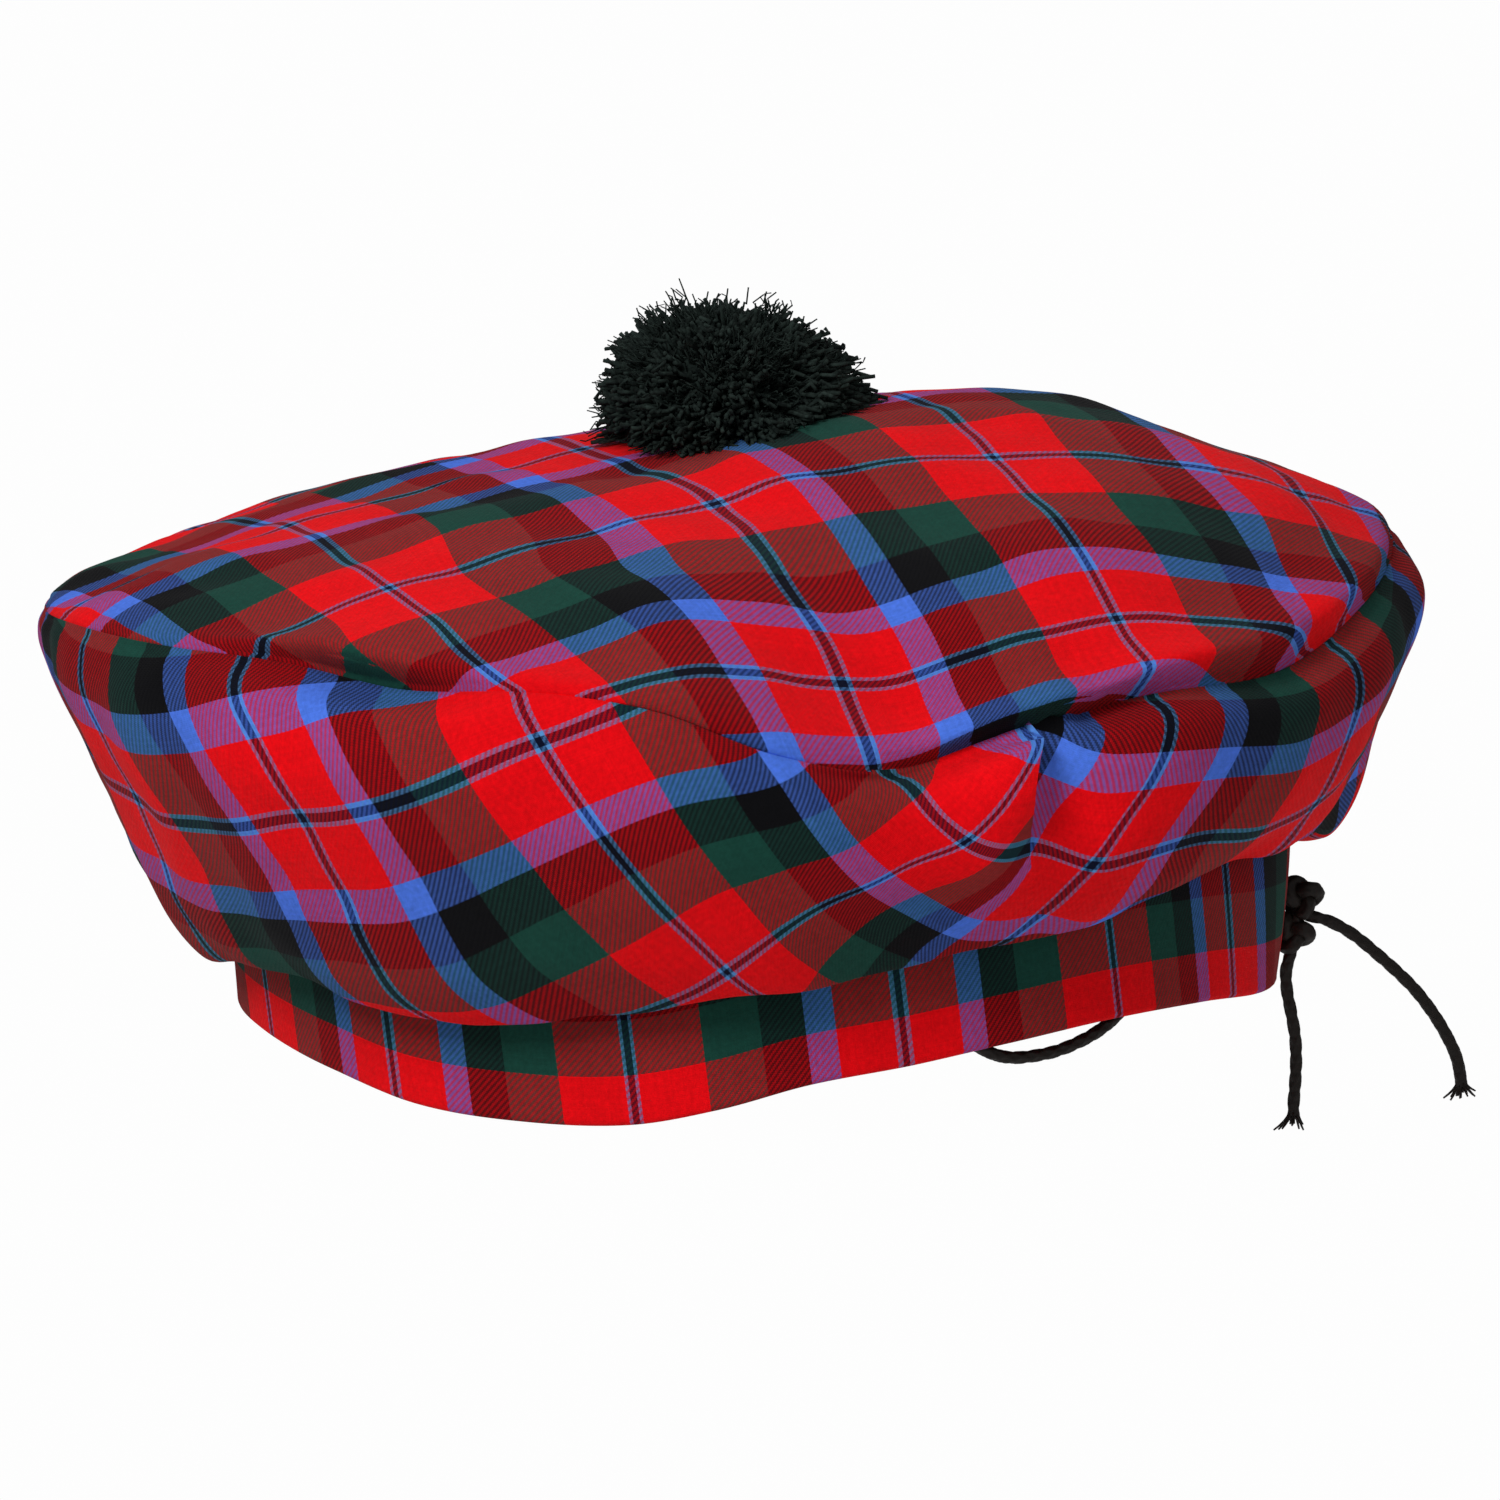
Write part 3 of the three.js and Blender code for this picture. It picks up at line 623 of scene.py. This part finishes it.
def tartan(name, thread):
    """Worsted tartan twill with threads of the given pitch in the sett's own metres."""
    finish, tree, shader = new_finish(name)
    sett = tree.nodes.new("ShaderNodeUVMap")
    sett.uv_map = "sett"
    parts = wired(tree, tree.nodes.new("ShaderNodeSeparateXYZ"), {0: sett.outputs["UV"]})
    threads, colours, rounds = [], [], []
    for axis in ("X", "Y"):
        count = calculated(tree, "DIVIDE", parts.outputs[axis], thread)
        number = calculated(tree, "FLOOR", count)
        middle = calculated(tree, "MULTIPLY", calculated(tree, "ADD", number, 0.5), thread)
        folded = calculated(tree, "PINGPONG", middle, HALF_SETT_LENGTH)
        stripes = tree.nodes.new("ShaderNodeValToRGB")
        ramp = stripes.color_ramp
        ramp.interpolation = "CONSTANT"
        start = 0
        for i, (colour, width) in enumerate(HALF_SETT):
            if i < 2:
                stop = ramp.elements[i]
                stop.position = start / HALF_SETT_LENGTH
            else:
                stop = ramp.elements.new(start / HALF_SETT_LENGTH)
            stop.color = (*colour, 1)
            start += width
        wired(tree, stripes, {"Fac": calculated(tree, "DIVIDE", folded, HALF_SETT_LENGTH)})
        dye = tree.nodes.new("ShaderNodeTexWhiteNoise")
        dye.noise_dimensions = "1D"
        wired(tree, dye, {"W": number})
        level_up = calculated(tree, "MULTIPLY_ADD", dye.outputs["Value"], DYE_SPREAD, DARKEST_DYE)
        colours.append(mixed(tree, 1.0, stripes.outputs["Color"], grey(tree, level_up), "MULTIPLY"))
        threads.append(number)
        across = calculated(tree, "SUBTRACT", calculated(tree, "FRACT", count), 0.5)
        bulge = calculated(tree, "MULTIPLY", calculated(tree, "MULTIPLY", across, across), -4)
        rounds.append(calculated(tree, "ADD", bulge, 1))
    step = calculated(tree, "FLOORED_MODULO", calculated(tree, "ADD", *threads), 4)
    warp_up = calculated(tree, "LESS_THAN", step, 1.5)
    top = mixed(tree, warp_up, colours[1], colours[0])
    roots = [powered(tree, colour, 1 / 3) for colour in colours]
    blended = powered(tree, mixed(tree, 0.5, *roots), 3)
    cloth = mixed(tree, TOP_THREAD_SHOWS, blended, top)
    for mottle in MOTTLES:
        least = 1 - mottle["depth"] / 2
        nap = unevenness(tree, mottle["scale"], 3)
        worn = calculated(tree, "MULTIPLY_ADD", nap, mottle["depth"], least)
        cloth = mixed(tree, 1.0, cloth, grey(tree, worn), "MULTIPLY")
    lift = wired(tree, tree.nodes.new("ShaderNodeMix"), {0: warp_up, 2: rounds[1], 3: rounds[0]})
    grained(tree, shader, lift.outputs[0], WEAVE_SHOWS)
    wired(tree, shader, {"Base Color": cloth, "Roughness": 0.85})
    shader.inputs["Specular IOR Level"].default_value = 0.06
    shader.inputs["Sheen Weight"].default_value = 0.02
    shader.inputs["Sheen Roughness"].default_value = 0.5
    return finish


CROWN_THREAD = 0.00025
tartan_crown = tartan("tartan_crown", CROWN_THREAD)

TOP_ROWS = 90
FIRST_SHARE = 0.004
CLOSER_TO_RIM = 0.75
ROUND_COLUMNS = 440
SMOOTH_BY_SEAM = 0.01
PUCKER_HEIGHT = 0.0003
PUCKER_REACH = 0.008
PUCKERS_ROUND = (41, 53, 67)
# Where a wave may start, in radians.
WAVE_STARTS = (0, 6)
SEAM_GROOVE = {"in": 0.0014, "reach": 0.0018}
# Where the top rolls over its own seam: how far the roll stands out and up, and how far in and
# down the seam is drawn behind it.
RIM_ROLLS = [
    {"azimuth": 46, "width": 14, "over": 0.0024, "puff": 0.0006, "in": 0.003, "down": 0.0015},
    {"azimuth": 32, "width": 6, "over": 0.0008, "puff": 0, "in": 0.0055, "down": 0.0015},
    {"azimuth": 20, "width": 5, "over": 0.0005, "puff": 0, "in": 0.0045, "down": 0.0008},
    {"azimuth": 76, "width": 14, "over": 0.001, "puff": 0, "in": 0.002, "down": 0.0005},
    {"azimuth": -34, "width": 9, "over": 0.0024, "puff": 0.0008, "in": 0.005, "down": 0.0025},
]
ROLL_PLACE = 0.0065
ROLL_WIDTH = 0.0035
ROLL_REACH = 0.004


def puckers(from_seam, azimuth, seed):
    """The small ripples that a seam leaves in the cloth beside it."""
    chance = np.random.default_rng(seed)
    ripples = sum(np.sin(np.radians(azimuth) * k + chance.uniform(*WAVE_STARTS)) for k in PUCKERS_ROUND)
    near = np.exp(-from_seam / PUCKER_REACH) * ease(from_seam / SEAM_GROOVE["reach"])
    return PUCKER_HEIGHT / 2 * ripples * near


def rolls(measure, azimuth):
    """One measure of the rim's rolls, all of them together, at each azimuth."""
    return sum(roll[measure] * bell(turn(roll["azimuth"], azimuth), roll["width"]) for roll in RIM_ROLLS)


def drawn_in(from_seam, azimuth):
    """How the rim seam draws the cloth beside it inwards and down."""
    groove = SEAM_GROOVE["in"] * np.exp(-(from_seam / SEAM_GROOVE["reach"]) ** 2)
    near = np.exp(-(from_seam / ROLL_REACH) ** 2)
    return polar(azimuth, -groove - near * rolls("in", azimuth), -near * rolls("down", azimuth))


def rolled_over(from_seam, azimuth):
    """How far the top's edge stands out, and up, where it rolls over the seam."""
    crest = bell(from_seam - ROLL_PLACE, ROLL_WIDTH) * ease(from_seam / ROLL_PLACE)
    return polar(azimuth, crest * rolls("over", azimuth), crest * rolls("puff", azimuth))


def pulled(azimuth, run, pulls):
    """How far soft pulls drag the pattern at each place on a panel. Each pull is its azimuth, its
    width round, how far down the cloth it is, its reach there, and its drag across and along."""
    total = 0
    for middle, width, down, reach, drag in pulls:
        strength = bell(turn(middle, azimuth), width) * bell(run - down, reach)
        total = total + strength[..., None] * np.array(drag)
    return total


def sett_place(fx, fy, slant, across, along, shift):
    """A place in the flat cut as a place in the woven sett, turned, stretched and shifted."""
    a = math.radians(slant)
    p = (fx * math.cos(a) + fy * math.sin(a)) / across + shift[0]
    q = (-fx * math.sin(a) + fy * math.cos(a)) / along + shift[1]
    return np.stack([p, q], axis=-1)


TOP_SLANT = -20.5
TOP_STRETCH = (1.203, 1.222)
TOP_SHIFT = (0.0144, -0.0839)
TOP_PULLS = [
    (-44, 8, 0.118, 0.008, (0, -0.0025)),
    (-40, 20, 0.08, 0.01, (0.0036, -0.0007)),
    (-20, 12, 0.09, 0.018, (0.0032, -0.0022)),
    (10, 20, 0.05, 0.018, (-0.0034, 0.0024)),
    (10, 12, 0.1, 0.01, (-0.0016, 0.0035)),
    (20, 12, 0.09, 0.018, (-0.0009, -0.0062)),
    (30, 20, 0.12, 0.01, (0, 0.0037)),
    (70, 12, 0.09, 0.018, (0.0027, -0.0057)),
    (80, 20, 0.11, 0.01, (-0.0023, -0.0044)),
]


def crown_top_cloth():
    """The top panel as a fine mesh."""
    around = np.linspace(-180, 180, ROUND_COLUMNS + 1)
    shares = np.concatenate([[FIRST_SHARE], np.linspace(0, 1, TOP_ROWS)[1:] ** CLOSER_TO_RIM])
    azimuth, share = np.meshgrid(around, shares)
    base = top_point(azimuth, share)
    run = distance_down(base) + FIRST_SHARE * section("rim_out", azimuth)
    from_seam = run[-1:] - run
    facing = outward(base)
    facing[:, -1] = facing[:, 0]
    waves = rumple(base, 3) * ease(from_seam / SMOOTH_BY_SEAM) + puckers(from_seam, azimuth, 5)
    outer = base + facing * waves[..., None] + drawn_in(from_seam, azimuth)
    outer = outer + rolled_over(from_seam, azimuth)
    inner = outer - facing * CLOTH_WALL
    a = np.radians(azimuth)
    sett = sett_place(run * np.sin(a), run * np.cos(a), TOP_SLANT, *TOP_STRETCH, TOP_SHIFT)
    sett = sett + pulled(azimuth, run, TOP_PULLS)
    return cloth_panel("crown_top_cloth", outer, inner, sett, tartan_crown)


top_cloth = crown_top_cloth()
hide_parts("crown_top")

# The crown's side. One long curved strip of the same tartan, joined at the back, sewn to the top
# at the rim, folded under over the band and turned up inside it. Where it is gathered below the
# hollow it has one deep pleat, whose left edge laps over the cloth on its right.
TURN_RISE = 0.006
TURN_TOP = 0.035
# How far off the band the part that is turned up stands, at the fold and at its end.
TURN_CLEARS = (3 * SEAM_GAP, 2 * SEAM_GAP)
SIDE_FOLD_START = 0.04
SEAM_LOOK_BACK = 0.99
# Folds down the side: azimuth at the seam and at the band, width in degrees, the share of the
# way down where it is deepest, its reach above and below, and its depth.
SIDE_FOLDS = [
    {"seam": 16, "hem": 24, "width": 5, "middle": 0.06, "reach": 0.16, "depth": 0.004},
    {"seam": 23, "hem": 25, "width": 4, "middle": 0.18, "reach": 0.12, "depth": -0.003},
    {"seam": 29, "hem": 27, "width": 3, "middle": 0.1, "reach": 0.16, "depth": 0.006},
    {"seam": 36, "hem": 33, "width": 6, "middle": 0.2, "reach": 0.2, "depth": -0.0015},
]


def side_point(azimuth, share):
    """The outer face of the side panel, share 0 at the rim seam and 1 at its end inside the fold."""
    seam = top_point(azimuth, np.ones_like(azimuth))
    leaving = seam - top_point(azimuth, np.full_like(azimuth, SEAM_LOOK_BACK))
    seam = seam + SEAM_GAP * leaving / np.linalg.norm(leaving, axis=-1, keepdims=True)
    fold_up = section("fold_up", azimuth)
    band_out = section("band_out", azimuth)
    knots = np.array([
        [np.hypot(seam[..., 0], seam[..., 1]), seam[..., 2]],
        [section("belly_out", azimuth), section("belly_up", azimuth)],
        [section("low_out", azimuth), section("low_up", azimuth)],
        [section("fold_out", azimuth), fold_up],
        [band_out + TURN_CLEARS[0], fold_up + TURN_RISE],
        [band_out + TURN_CLEARS[1], np.maximum(TURN_TOP, fold_up + 2 * TURN_RISE)],
    ])
    knots = np.concatenate([[2 * knots[0] - knots[1]], knots, [2 * knots[-1] - knots[-2]]])
    last = len(knots) - 3
    i = np.minimum(last - 1, np.floor(share * last).astype(int))
    t = share * last - i
    row, column = np.indices(azimuth.shape)

    def curve(axis):
        return smooth_between(*(knots[i + k, axis, row, column] for k in range(4)), t)

    dent = 0
    for fold in SIDE_FOLDS:
        centre = fold["seam"] + (fold["hem"] - fold["seam"]) * share
        near_seam = ease(share / SIDE_FOLD_START)
        dent = dent + (fold["depth"] * bell(turn(centre, azimuth), fold["width"])
                       * bell(share - fold["middle"], fold["reach"]) * near_seam)
    return polar(azimuth, curve(0) - dent, curve(1))


SIDE_ROWS = 94
FINE_COLUMNS = 44
FINE_WIDTH = 11
CLOSER_TO_PLEAT = 1.5
BACK_JOIN = 100
JOIN_GROOVE = 0.0009
JOIN_WIDTH = 1.3
HIDDEN_SHARE = 0.3
# The pleat: its azimuth at the seam, how far its edge leans on its way down, and how high its left
# edge stands and how deep the cloth on its right lies. Each dies away over some degrees round and
# between two distances down. Below that the cloth that the pleat takes in has come out again.
PLEAT = {
    "azimuth": 28,
    "lean": -3.2, "lean_width": 12, "leans_by": 0.2, "upright_again": 0.62, "rights_over": 0.3,
    "lap": 0.0026, "lap_width": 7, "sink": 0.0026, "sink_width": 5,
    "opens": 0.006, "flattens": 0.014, "flat": 0.028,
}
TAKEN_IN = {"width": 11, "from": 0.016, "none_at": 0.034, "level_at": 0.012}
SIDE_LEFT = {
    "spread": 0.65, "radius": 0.21, "slant": -38.6, "stretch": (1.193, 1.148), "shift": (-0.0342, 0.1549),
    "pulls": [
        (-47, 16, 0, 0.01, (0.0085, 0.0021)),
        (-50, 10, 0.04, 0.016, (-0.0067, -0.0006)),
        (-34, 9, 0.002, 0.007, (0, 0.003)),
        (-30, 10, 0.06, 0.016, (0.0039, -0.0033)),
        (10, 16, 0, 0.01, (-0.0021, -0.0043)),
        (10, 10, 0.04, 0.016, (0.0006, 0.011)),
        (30, 10, 0.01, 0.01, (0.0001, -0.0078)),
    ],
}
SIDE_RIGHT = {
    "spread": 0.8, "radius": 0.1197, "slant": -40.4, "stretch": (1.252, 0.847), "shift": (0.0262, 0.1369),
    "pulls": [
        (30, 10, 0.02, 0.016, (0.0046, -0.0042)),
        (40, 10, 0.03, 0.01, (-0.0008, 0.0047)),
        (50, 16, 0.03, 0.01, (-0.003, 0.003)),
    ],
}


def side_sett(cut, azimuth, run):
    """The side strip laid flat is a ring's sector: the place of its points in the sett."""
    a = np.radians(azimuth * cut["spread"])
    out = cut["radius"] - run
    place = sett_place(out * np.sin(a), -out * np.cos(a), cut["slant"], *cut["stretch"], cut["shift"])
    return place + pulled(azimuth, run, cut["pulls"])


def side_columns():
    """The degrees from the pleat round to it again, closer together beside it, the first repeated."""
    fine = np.linspace(0, 1, FINE_COLUMNS, endpoint=False) ** CLOSER_TO_PLEAT * FINE_WIDTH
    middle = np.linspace(FINE_WIDTH, 360 - FINE_WIDTH, ROUND_COLUMNS)
    return np.concatenate([fine, middle, 360 - fine[:0:-1], [360]])


def crown_side_cloth():
    """The side panel as a fine mesh, its columns counted from the pleat round the back."""
    beyond, share = np.meshgrid(side_columns(), np.linspace(0, 1, SIDE_ROWS))
    from_pleat = np.where(beyond > 180, beyond - 360, beyond)
    lean = PLEAT["lean"] * np.exp(-np.abs(from_pleat) / PLEAT["lean_width"])
    lean = lean * ease(share / PLEAT["leans_by"])
    lean = lean * ease((PLEAT["upright_again"] - share) / PLEAT["rights_over"])
    azimuth = PLEAT["azimuth"] + beyond + lean
    base = side_point(azimuth, share)
    run = distance_down(base)
    facing = outward(base)
    facing[:, -1] = facing[:, 0]
    seen = ease(run / SMOOTH_BY_SEAM) * ease((1 - share) / HIDDEN_SHARE)
    waves = rumple(base, 4) * seen + puckers(run, azimuth, 6)
    lapped = ease(run / PLEAT["opens"]) * ease((PLEAT["flat"] - run) / (PLEAT["flat"] - PLEAT["flattens"]))
    higher = PLEAT["lap"] * np.exp(-np.abs(from_pleat) / PLEAT["lap_width"])
    lower = -PLEAT["sink"] * np.exp(-np.abs(from_pleat) / PLEAT["sink_width"])
    waves = waves + lapped * np.where(beyond > 180, higher, lower)
    waves = waves - JOIN_GROOVE * np.exp(-(turn(BACK_JOIN, azimuth) / JOIN_WIDTH) ** 2)
    waves[:, -1] = waves[:, 0]
    outer = base + facing * waves[..., None] + drawn_in(run, azimuth)
    inner = outer - facing * CLOTH_WALL
    left = side_sett(SIDE_LEFT, azimuth - 360, run)
    right = side_sett(SIDE_RIGHT, azimuth, run)
    level = ease(run / TAKEN_IN["level_at"])
    come_out = ease((run - TAKEN_IN["from"]) / (TAKEN_IN["none_at"] - TAKEN_IN["from"]))
    closing = np.stack([level, come_out], axis=-1) * bell(from_pleat, TAKEN_IN["width"])[..., None]
    left = left + (right[:, :1] - left[:, -1:]) * closing * (beyond > 180)[..., None]
    return cloth_panel("crown_side_cloth", outer, inner, left, tartan_crown, right, azimuth[0] < BACK_JOIN)


side_cloth = crown_side_cloth()
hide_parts("crown_side")

# The headband. A doubled strip of the tartan in its true sett, stitched to the crown inside the
# fold, turned over a rounded hem at its lower edge and closed with a seam at the back.
BAND_TOP = 0.04
BAND_WALL = 0.0024
BAND_COLUMNS = 400
BAND_ROWS = 26
HEM_ROWS = 7
HEM_SHARE = 0.03
BAND_SEAM = 92
BAND_THREAD = 0.0003
# Azimuths where the middle of each thin line of the sett stands on the band.
BAND_LINES = [-68, -44.5, -15, 14.5, 41, 62]
BAND_LINE_AT_ZERO = 3
BAND_HEM_LINE = 0.0017
tartan_band = tartan("tartan_band", BAND_THREAD)


def band_walls():
    """The azimuths, outer and inner face of the band, their columns counted from the back seam."""
    azimuth = np.linspace(BAND_SEAM - 360, BAND_SEAM, BAND_COLUMNS + 1)[None, :]
    rise = np.linspace(1, HEM_SHARE, BAND_ROWS)[:, None]
    low = section("band_low", azimuth)
    out = section("band_out", azimuth)
    lean = section("lean", azimuth)
    wall_out = out - lean * (1 - rise) ** 2
    up = low + (BAND_TOP - low) * rise
    outer = polar(azimuth, wall_out, up)
    inner = polar(azimuth, wall_out - BAND_WALL, up)
    turned_under = np.linspace(0, math.pi, HEM_ROWS + 2)[1:-1][:, None]
    hem_up = low + (BAND_TOP - low) * rise[-1:]
    hem = polar(azimuth,
                wall_out[-1:] - BAND_WALL / 2 * (1 - np.cos(turned_under)),
                hem_up + (low - hem_up) * np.sin(turned_under))
    outer = np.concatenate([outer, hem])
    inner = np.concatenate([inner, np.repeat(inner[-1:], len(hem), axis=0)])
    return azimuth, outer, inner


def band_sett(azimuth, outer):
    """The band's place in the sett: its lines stand up, and its hem lies along a thin line."""
    lines = np.array(BAND_LINES, float)
    counts = np.arange(len(lines)) - BAND_LINE_AT_ZERO
    per_degree = math.radians(section("band_out", 0))
    beyond = np.minimum(azimuth - lines[0], 0) + np.maximum(azimuth - lines[-1], 0)
    p = np.interp(azimuth, lines, counts * HALF_SETT_LENGTH) + beyond * per_degree
    run = distance_down(outer)
    q = HALF_SETT_LENGTH - BAND_HEM_LINE - (run[-1:] - run)
    return np.stack(np.broadcast_arrays(p, q), axis=-1)


band_azimuth, band_outer, band_inner = band_walls()
band_cloth = cloth_panel(
    "headband_cloth", band_outer, band_inner, band_sett(band_azimuth, band_outer), tartan_band)
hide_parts("headband")

# The toorie. A pompom of dark bottle-green wool: many cut yarns bound at the middle, trimmed to a
# low dome that sits flat on the crown, with a few longer ends standing up from its top.
TOORIE_CENTRE = (0.0068, 0.0058)
# The trimmed dome, as heights over the crown and distances out, in metres.
TOORIE_DOME = [
    (0.0005, 0.0248), (0.003, 0.0232), (0.0065, 0.0209), (0.01, 0.0186), (0.0135, 0.0163),
    (0.0165, 0.0142), (0.019, 0.0117), (0.0204, 0.0075), (0.0208, 0),
]
TOORIE_LEAN = -0.1
TOORIE_MIDDLE = 0.004
HEART_SHARE = 0.8
HEART_SIDES = 48
# The thick yarns and the single plies between them: how many there are, how far out from the middle
# each starts, how thick it is, how much of that is left at its tip, and how many sides it has.
YARNS = {"count": 3400, "start": 0.66, "radius": 0.00048, "taper": 0.8, "sides": 5}
PLIES = {"count": 2600, "start": 0.72, "radius": 0.0002, "taper": 0.7, "sides": 4}
STRAND_POINTS = 5
# How far a strand curls, where it bends back, and how much of the curl is a twist.
CURL = 0.0017
CURLS_BACK = 1.6
TWIST_SHARE = 0.4
YARN_CLEARANCE = 0.0008
# How far the yarns' ends are trimmed past the dome, as a mean and a spread, and the shortest and
# longest of the plies. All are shares of the way out.
YARN_TRIM = (-0.015, 0.03)
PLY_TRIM = (0.96, 1.05)
TUFT_WAVES = 12
TUFT_LENGTH = 0.003
TUFT_SHIFT = 0.0024
# The long ends: how many of the plies near the top and front they are, and how far they stand up.
SPIKE_SHARE = 0.09
SPIKES_ABOVE = 0.0165
SPIKES_IN_FRONT_OF = 0.006
SPIKE_HEIGHT = 0.004
SPIKE_HEIGHTS = (0.3, 1)
# How finely the dome's outline is read, and how far a strand strays from its place round it.
DOME_STEPS = 200
DOME_STRAY = 0.05


def dome_points(count, chance):
    """Evenly spread points on the trimmed dome, as x, y from its middle and height."""
    dome = np.array(TOORIE_DOME)
    fine = np.linspace(0, 1, DOME_STEPS)
    along = np.linspace(0, 1, len(dome))
    height, out = np.interp(fine, along, dome[:, 0]), np.interp(fine, along, dome[:, 1])
    ring = np.hypot(np.diff(height), np.diff(out)) * (out[1:] + out[:-1]) / 2
    area = np.concatenate([[0], np.cumsum(ring)])
    at = np.interp((np.arange(count) + 0.5) / count, area / area[-1], fine)
    stray = chance.normal(0, DOME_STRAY, count)
    around = np.arange(count) * math.pi * (3 - math.sqrt(5)) + stray
    height, out = np.interp(at, fine, height), np.interp(at, fine, out)
    return np.stack([np.cos(around) * out, np.sin(around) * out, height], axis=-1)


def tufted(points, chance):
    """The points shifted so that neighbouring yarns lean together in tufts."""
    shift = np.zeros_like(points)
    for _ in range(TUFT_WAVES):
        way = chance.normal(size=3) / TUFT_LENGTH
        shift += np.sin(points @ way + chance.uniform(*WAVE_STARTS))[:, None] * chance.normal(size=3)
    return points + shift * TUFT_SHIFT / math.sqrt(TUFT_WAVES)


def crown_up_at(x, y):
    """The crown's upper face straight below or above each point."""
    azimuth = np.degrees(np.arctan2(x, -y))
    return top_point(azimuth, np.hypot(x, y) / section("rim_out", azimuth))[..., 2]


def set_on_crown(points):
    """Points about the toorie's middle, leaned with it and set down on the crown."""
    placed = points.copy()
    placed[..., 2] += TOORIE_LEAN * points[..., 0] * points[..., 2] / TOORIE_DOME[-1][0]
    placed[..., 0] += TOORIE_CENTRE[0]
    placed[..., 1] += TOORIE_CENTRE[1]
    clear = crown_up_at(placed[..., 0], placed[..., 1]) + YARN_CLEARANCE
    placed[..., 2] = np.maximum(placed[..., 2] + crown_up_at(*TOORIE_CENTRE), clear)
    return placed


def cut_wool(kind, ends, chance):
    """Curling, tapered strands of wool from inside the dome out to the ends."""
    middle = np.array([0, 0, TOORIE_MIDDLE])
    t = np.linspace(kind["start"], 1, STRAND_POINTS)[None, :, None]
    paths = middle + (ends - middle)[:, None] * t
    loose = (t - kind["start"]) / (1 - kind["start"])
    bend = chance.normal(size=(len(ends), 1, 3)) * CURL
    twist = chance.normal(size=(len(ends), 1, 3)) * CURL * TWIST_SHARE
    paths = paths + bend * loose * (CURLS_BACK - loose) + twist * np.sin(2 * math.pi * loose)
    return strands(set_on_crown(paths), kind["radius"], kind["radius"] * kind["taper"], kind["sides"])


def toorie_yarns():
    """The bound heart of the toorie and its thick cut yarns."""
    chance = np.random.default_rng(7)
    ends = tufted(dome_points(YARNS["count"], chance), chance)
    ends = ends * (1 + chance.normal(*YARN_TRIM, len(ends)))[:, None]
    yarns = cut_wool(YARNS, ends, chance)
    angle = np.linspace(0, 2 * math.pi, HEART_SIDES, endpoint=False)
    rings = [
        np.stack([np.cos(angle) * out, np.sin(angle) * out, np.full(HEART_SIDES, height)], axis=-1)
        for height, out in TOORIE_DOME[:-1]
    ]
    heart = set_on_crown(np.stack(rings) * HEART_SHARE).reshape(-1, 3)
    return joined([yarns, (heart, tube_faces(len(rings), HEART_SIDES))])


def toorie_plies():
    """Single plies between and beyond the yarns' ends, longest at the top in front."""
    chance = np.random.default_rng(8)
    ends = tufted(dome_points(PLIES["count"], chance), chance)
    ends = ends * chance.uniform(*PLY_TRIM, len(ends))[:, None]
    placed_for_it = (ends[:, 2] > SPIKES_ABOVE) & (ends[:, 0] < SPIKES_IN_FRONT_OF)
    spiky = (chance.random(len(ends)) < SPIKE_SHARE) & placed_for_it
    ends[spiky, 2] += SPIKE_HEIGHT * chance.uniform(*SPIKE_HEIGHTS, spiky.sum())
    return cut_wool(PLIES, ends, chance)


# Dark bottle-green wool on a fine noise, whose lighter specks are painted highlights on the yarns.
WOOL_SHADES_AND_GLINTS = [(0.3, (0.001, 0.002, 0.002)), (0.75, (0.024, 0.037, 0.032))]
wool = fibre_finish("toorie_wool", 700, 4, WOOL_SHADES_AND_GLINTS, roughness=0.95, specular=0.1)
toorie = piece_of("toorie_yarns", *toorie_yarns(), wool)
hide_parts("toorie")
plies = piece_of("toorie_plies", *toorie_plies(), wool)
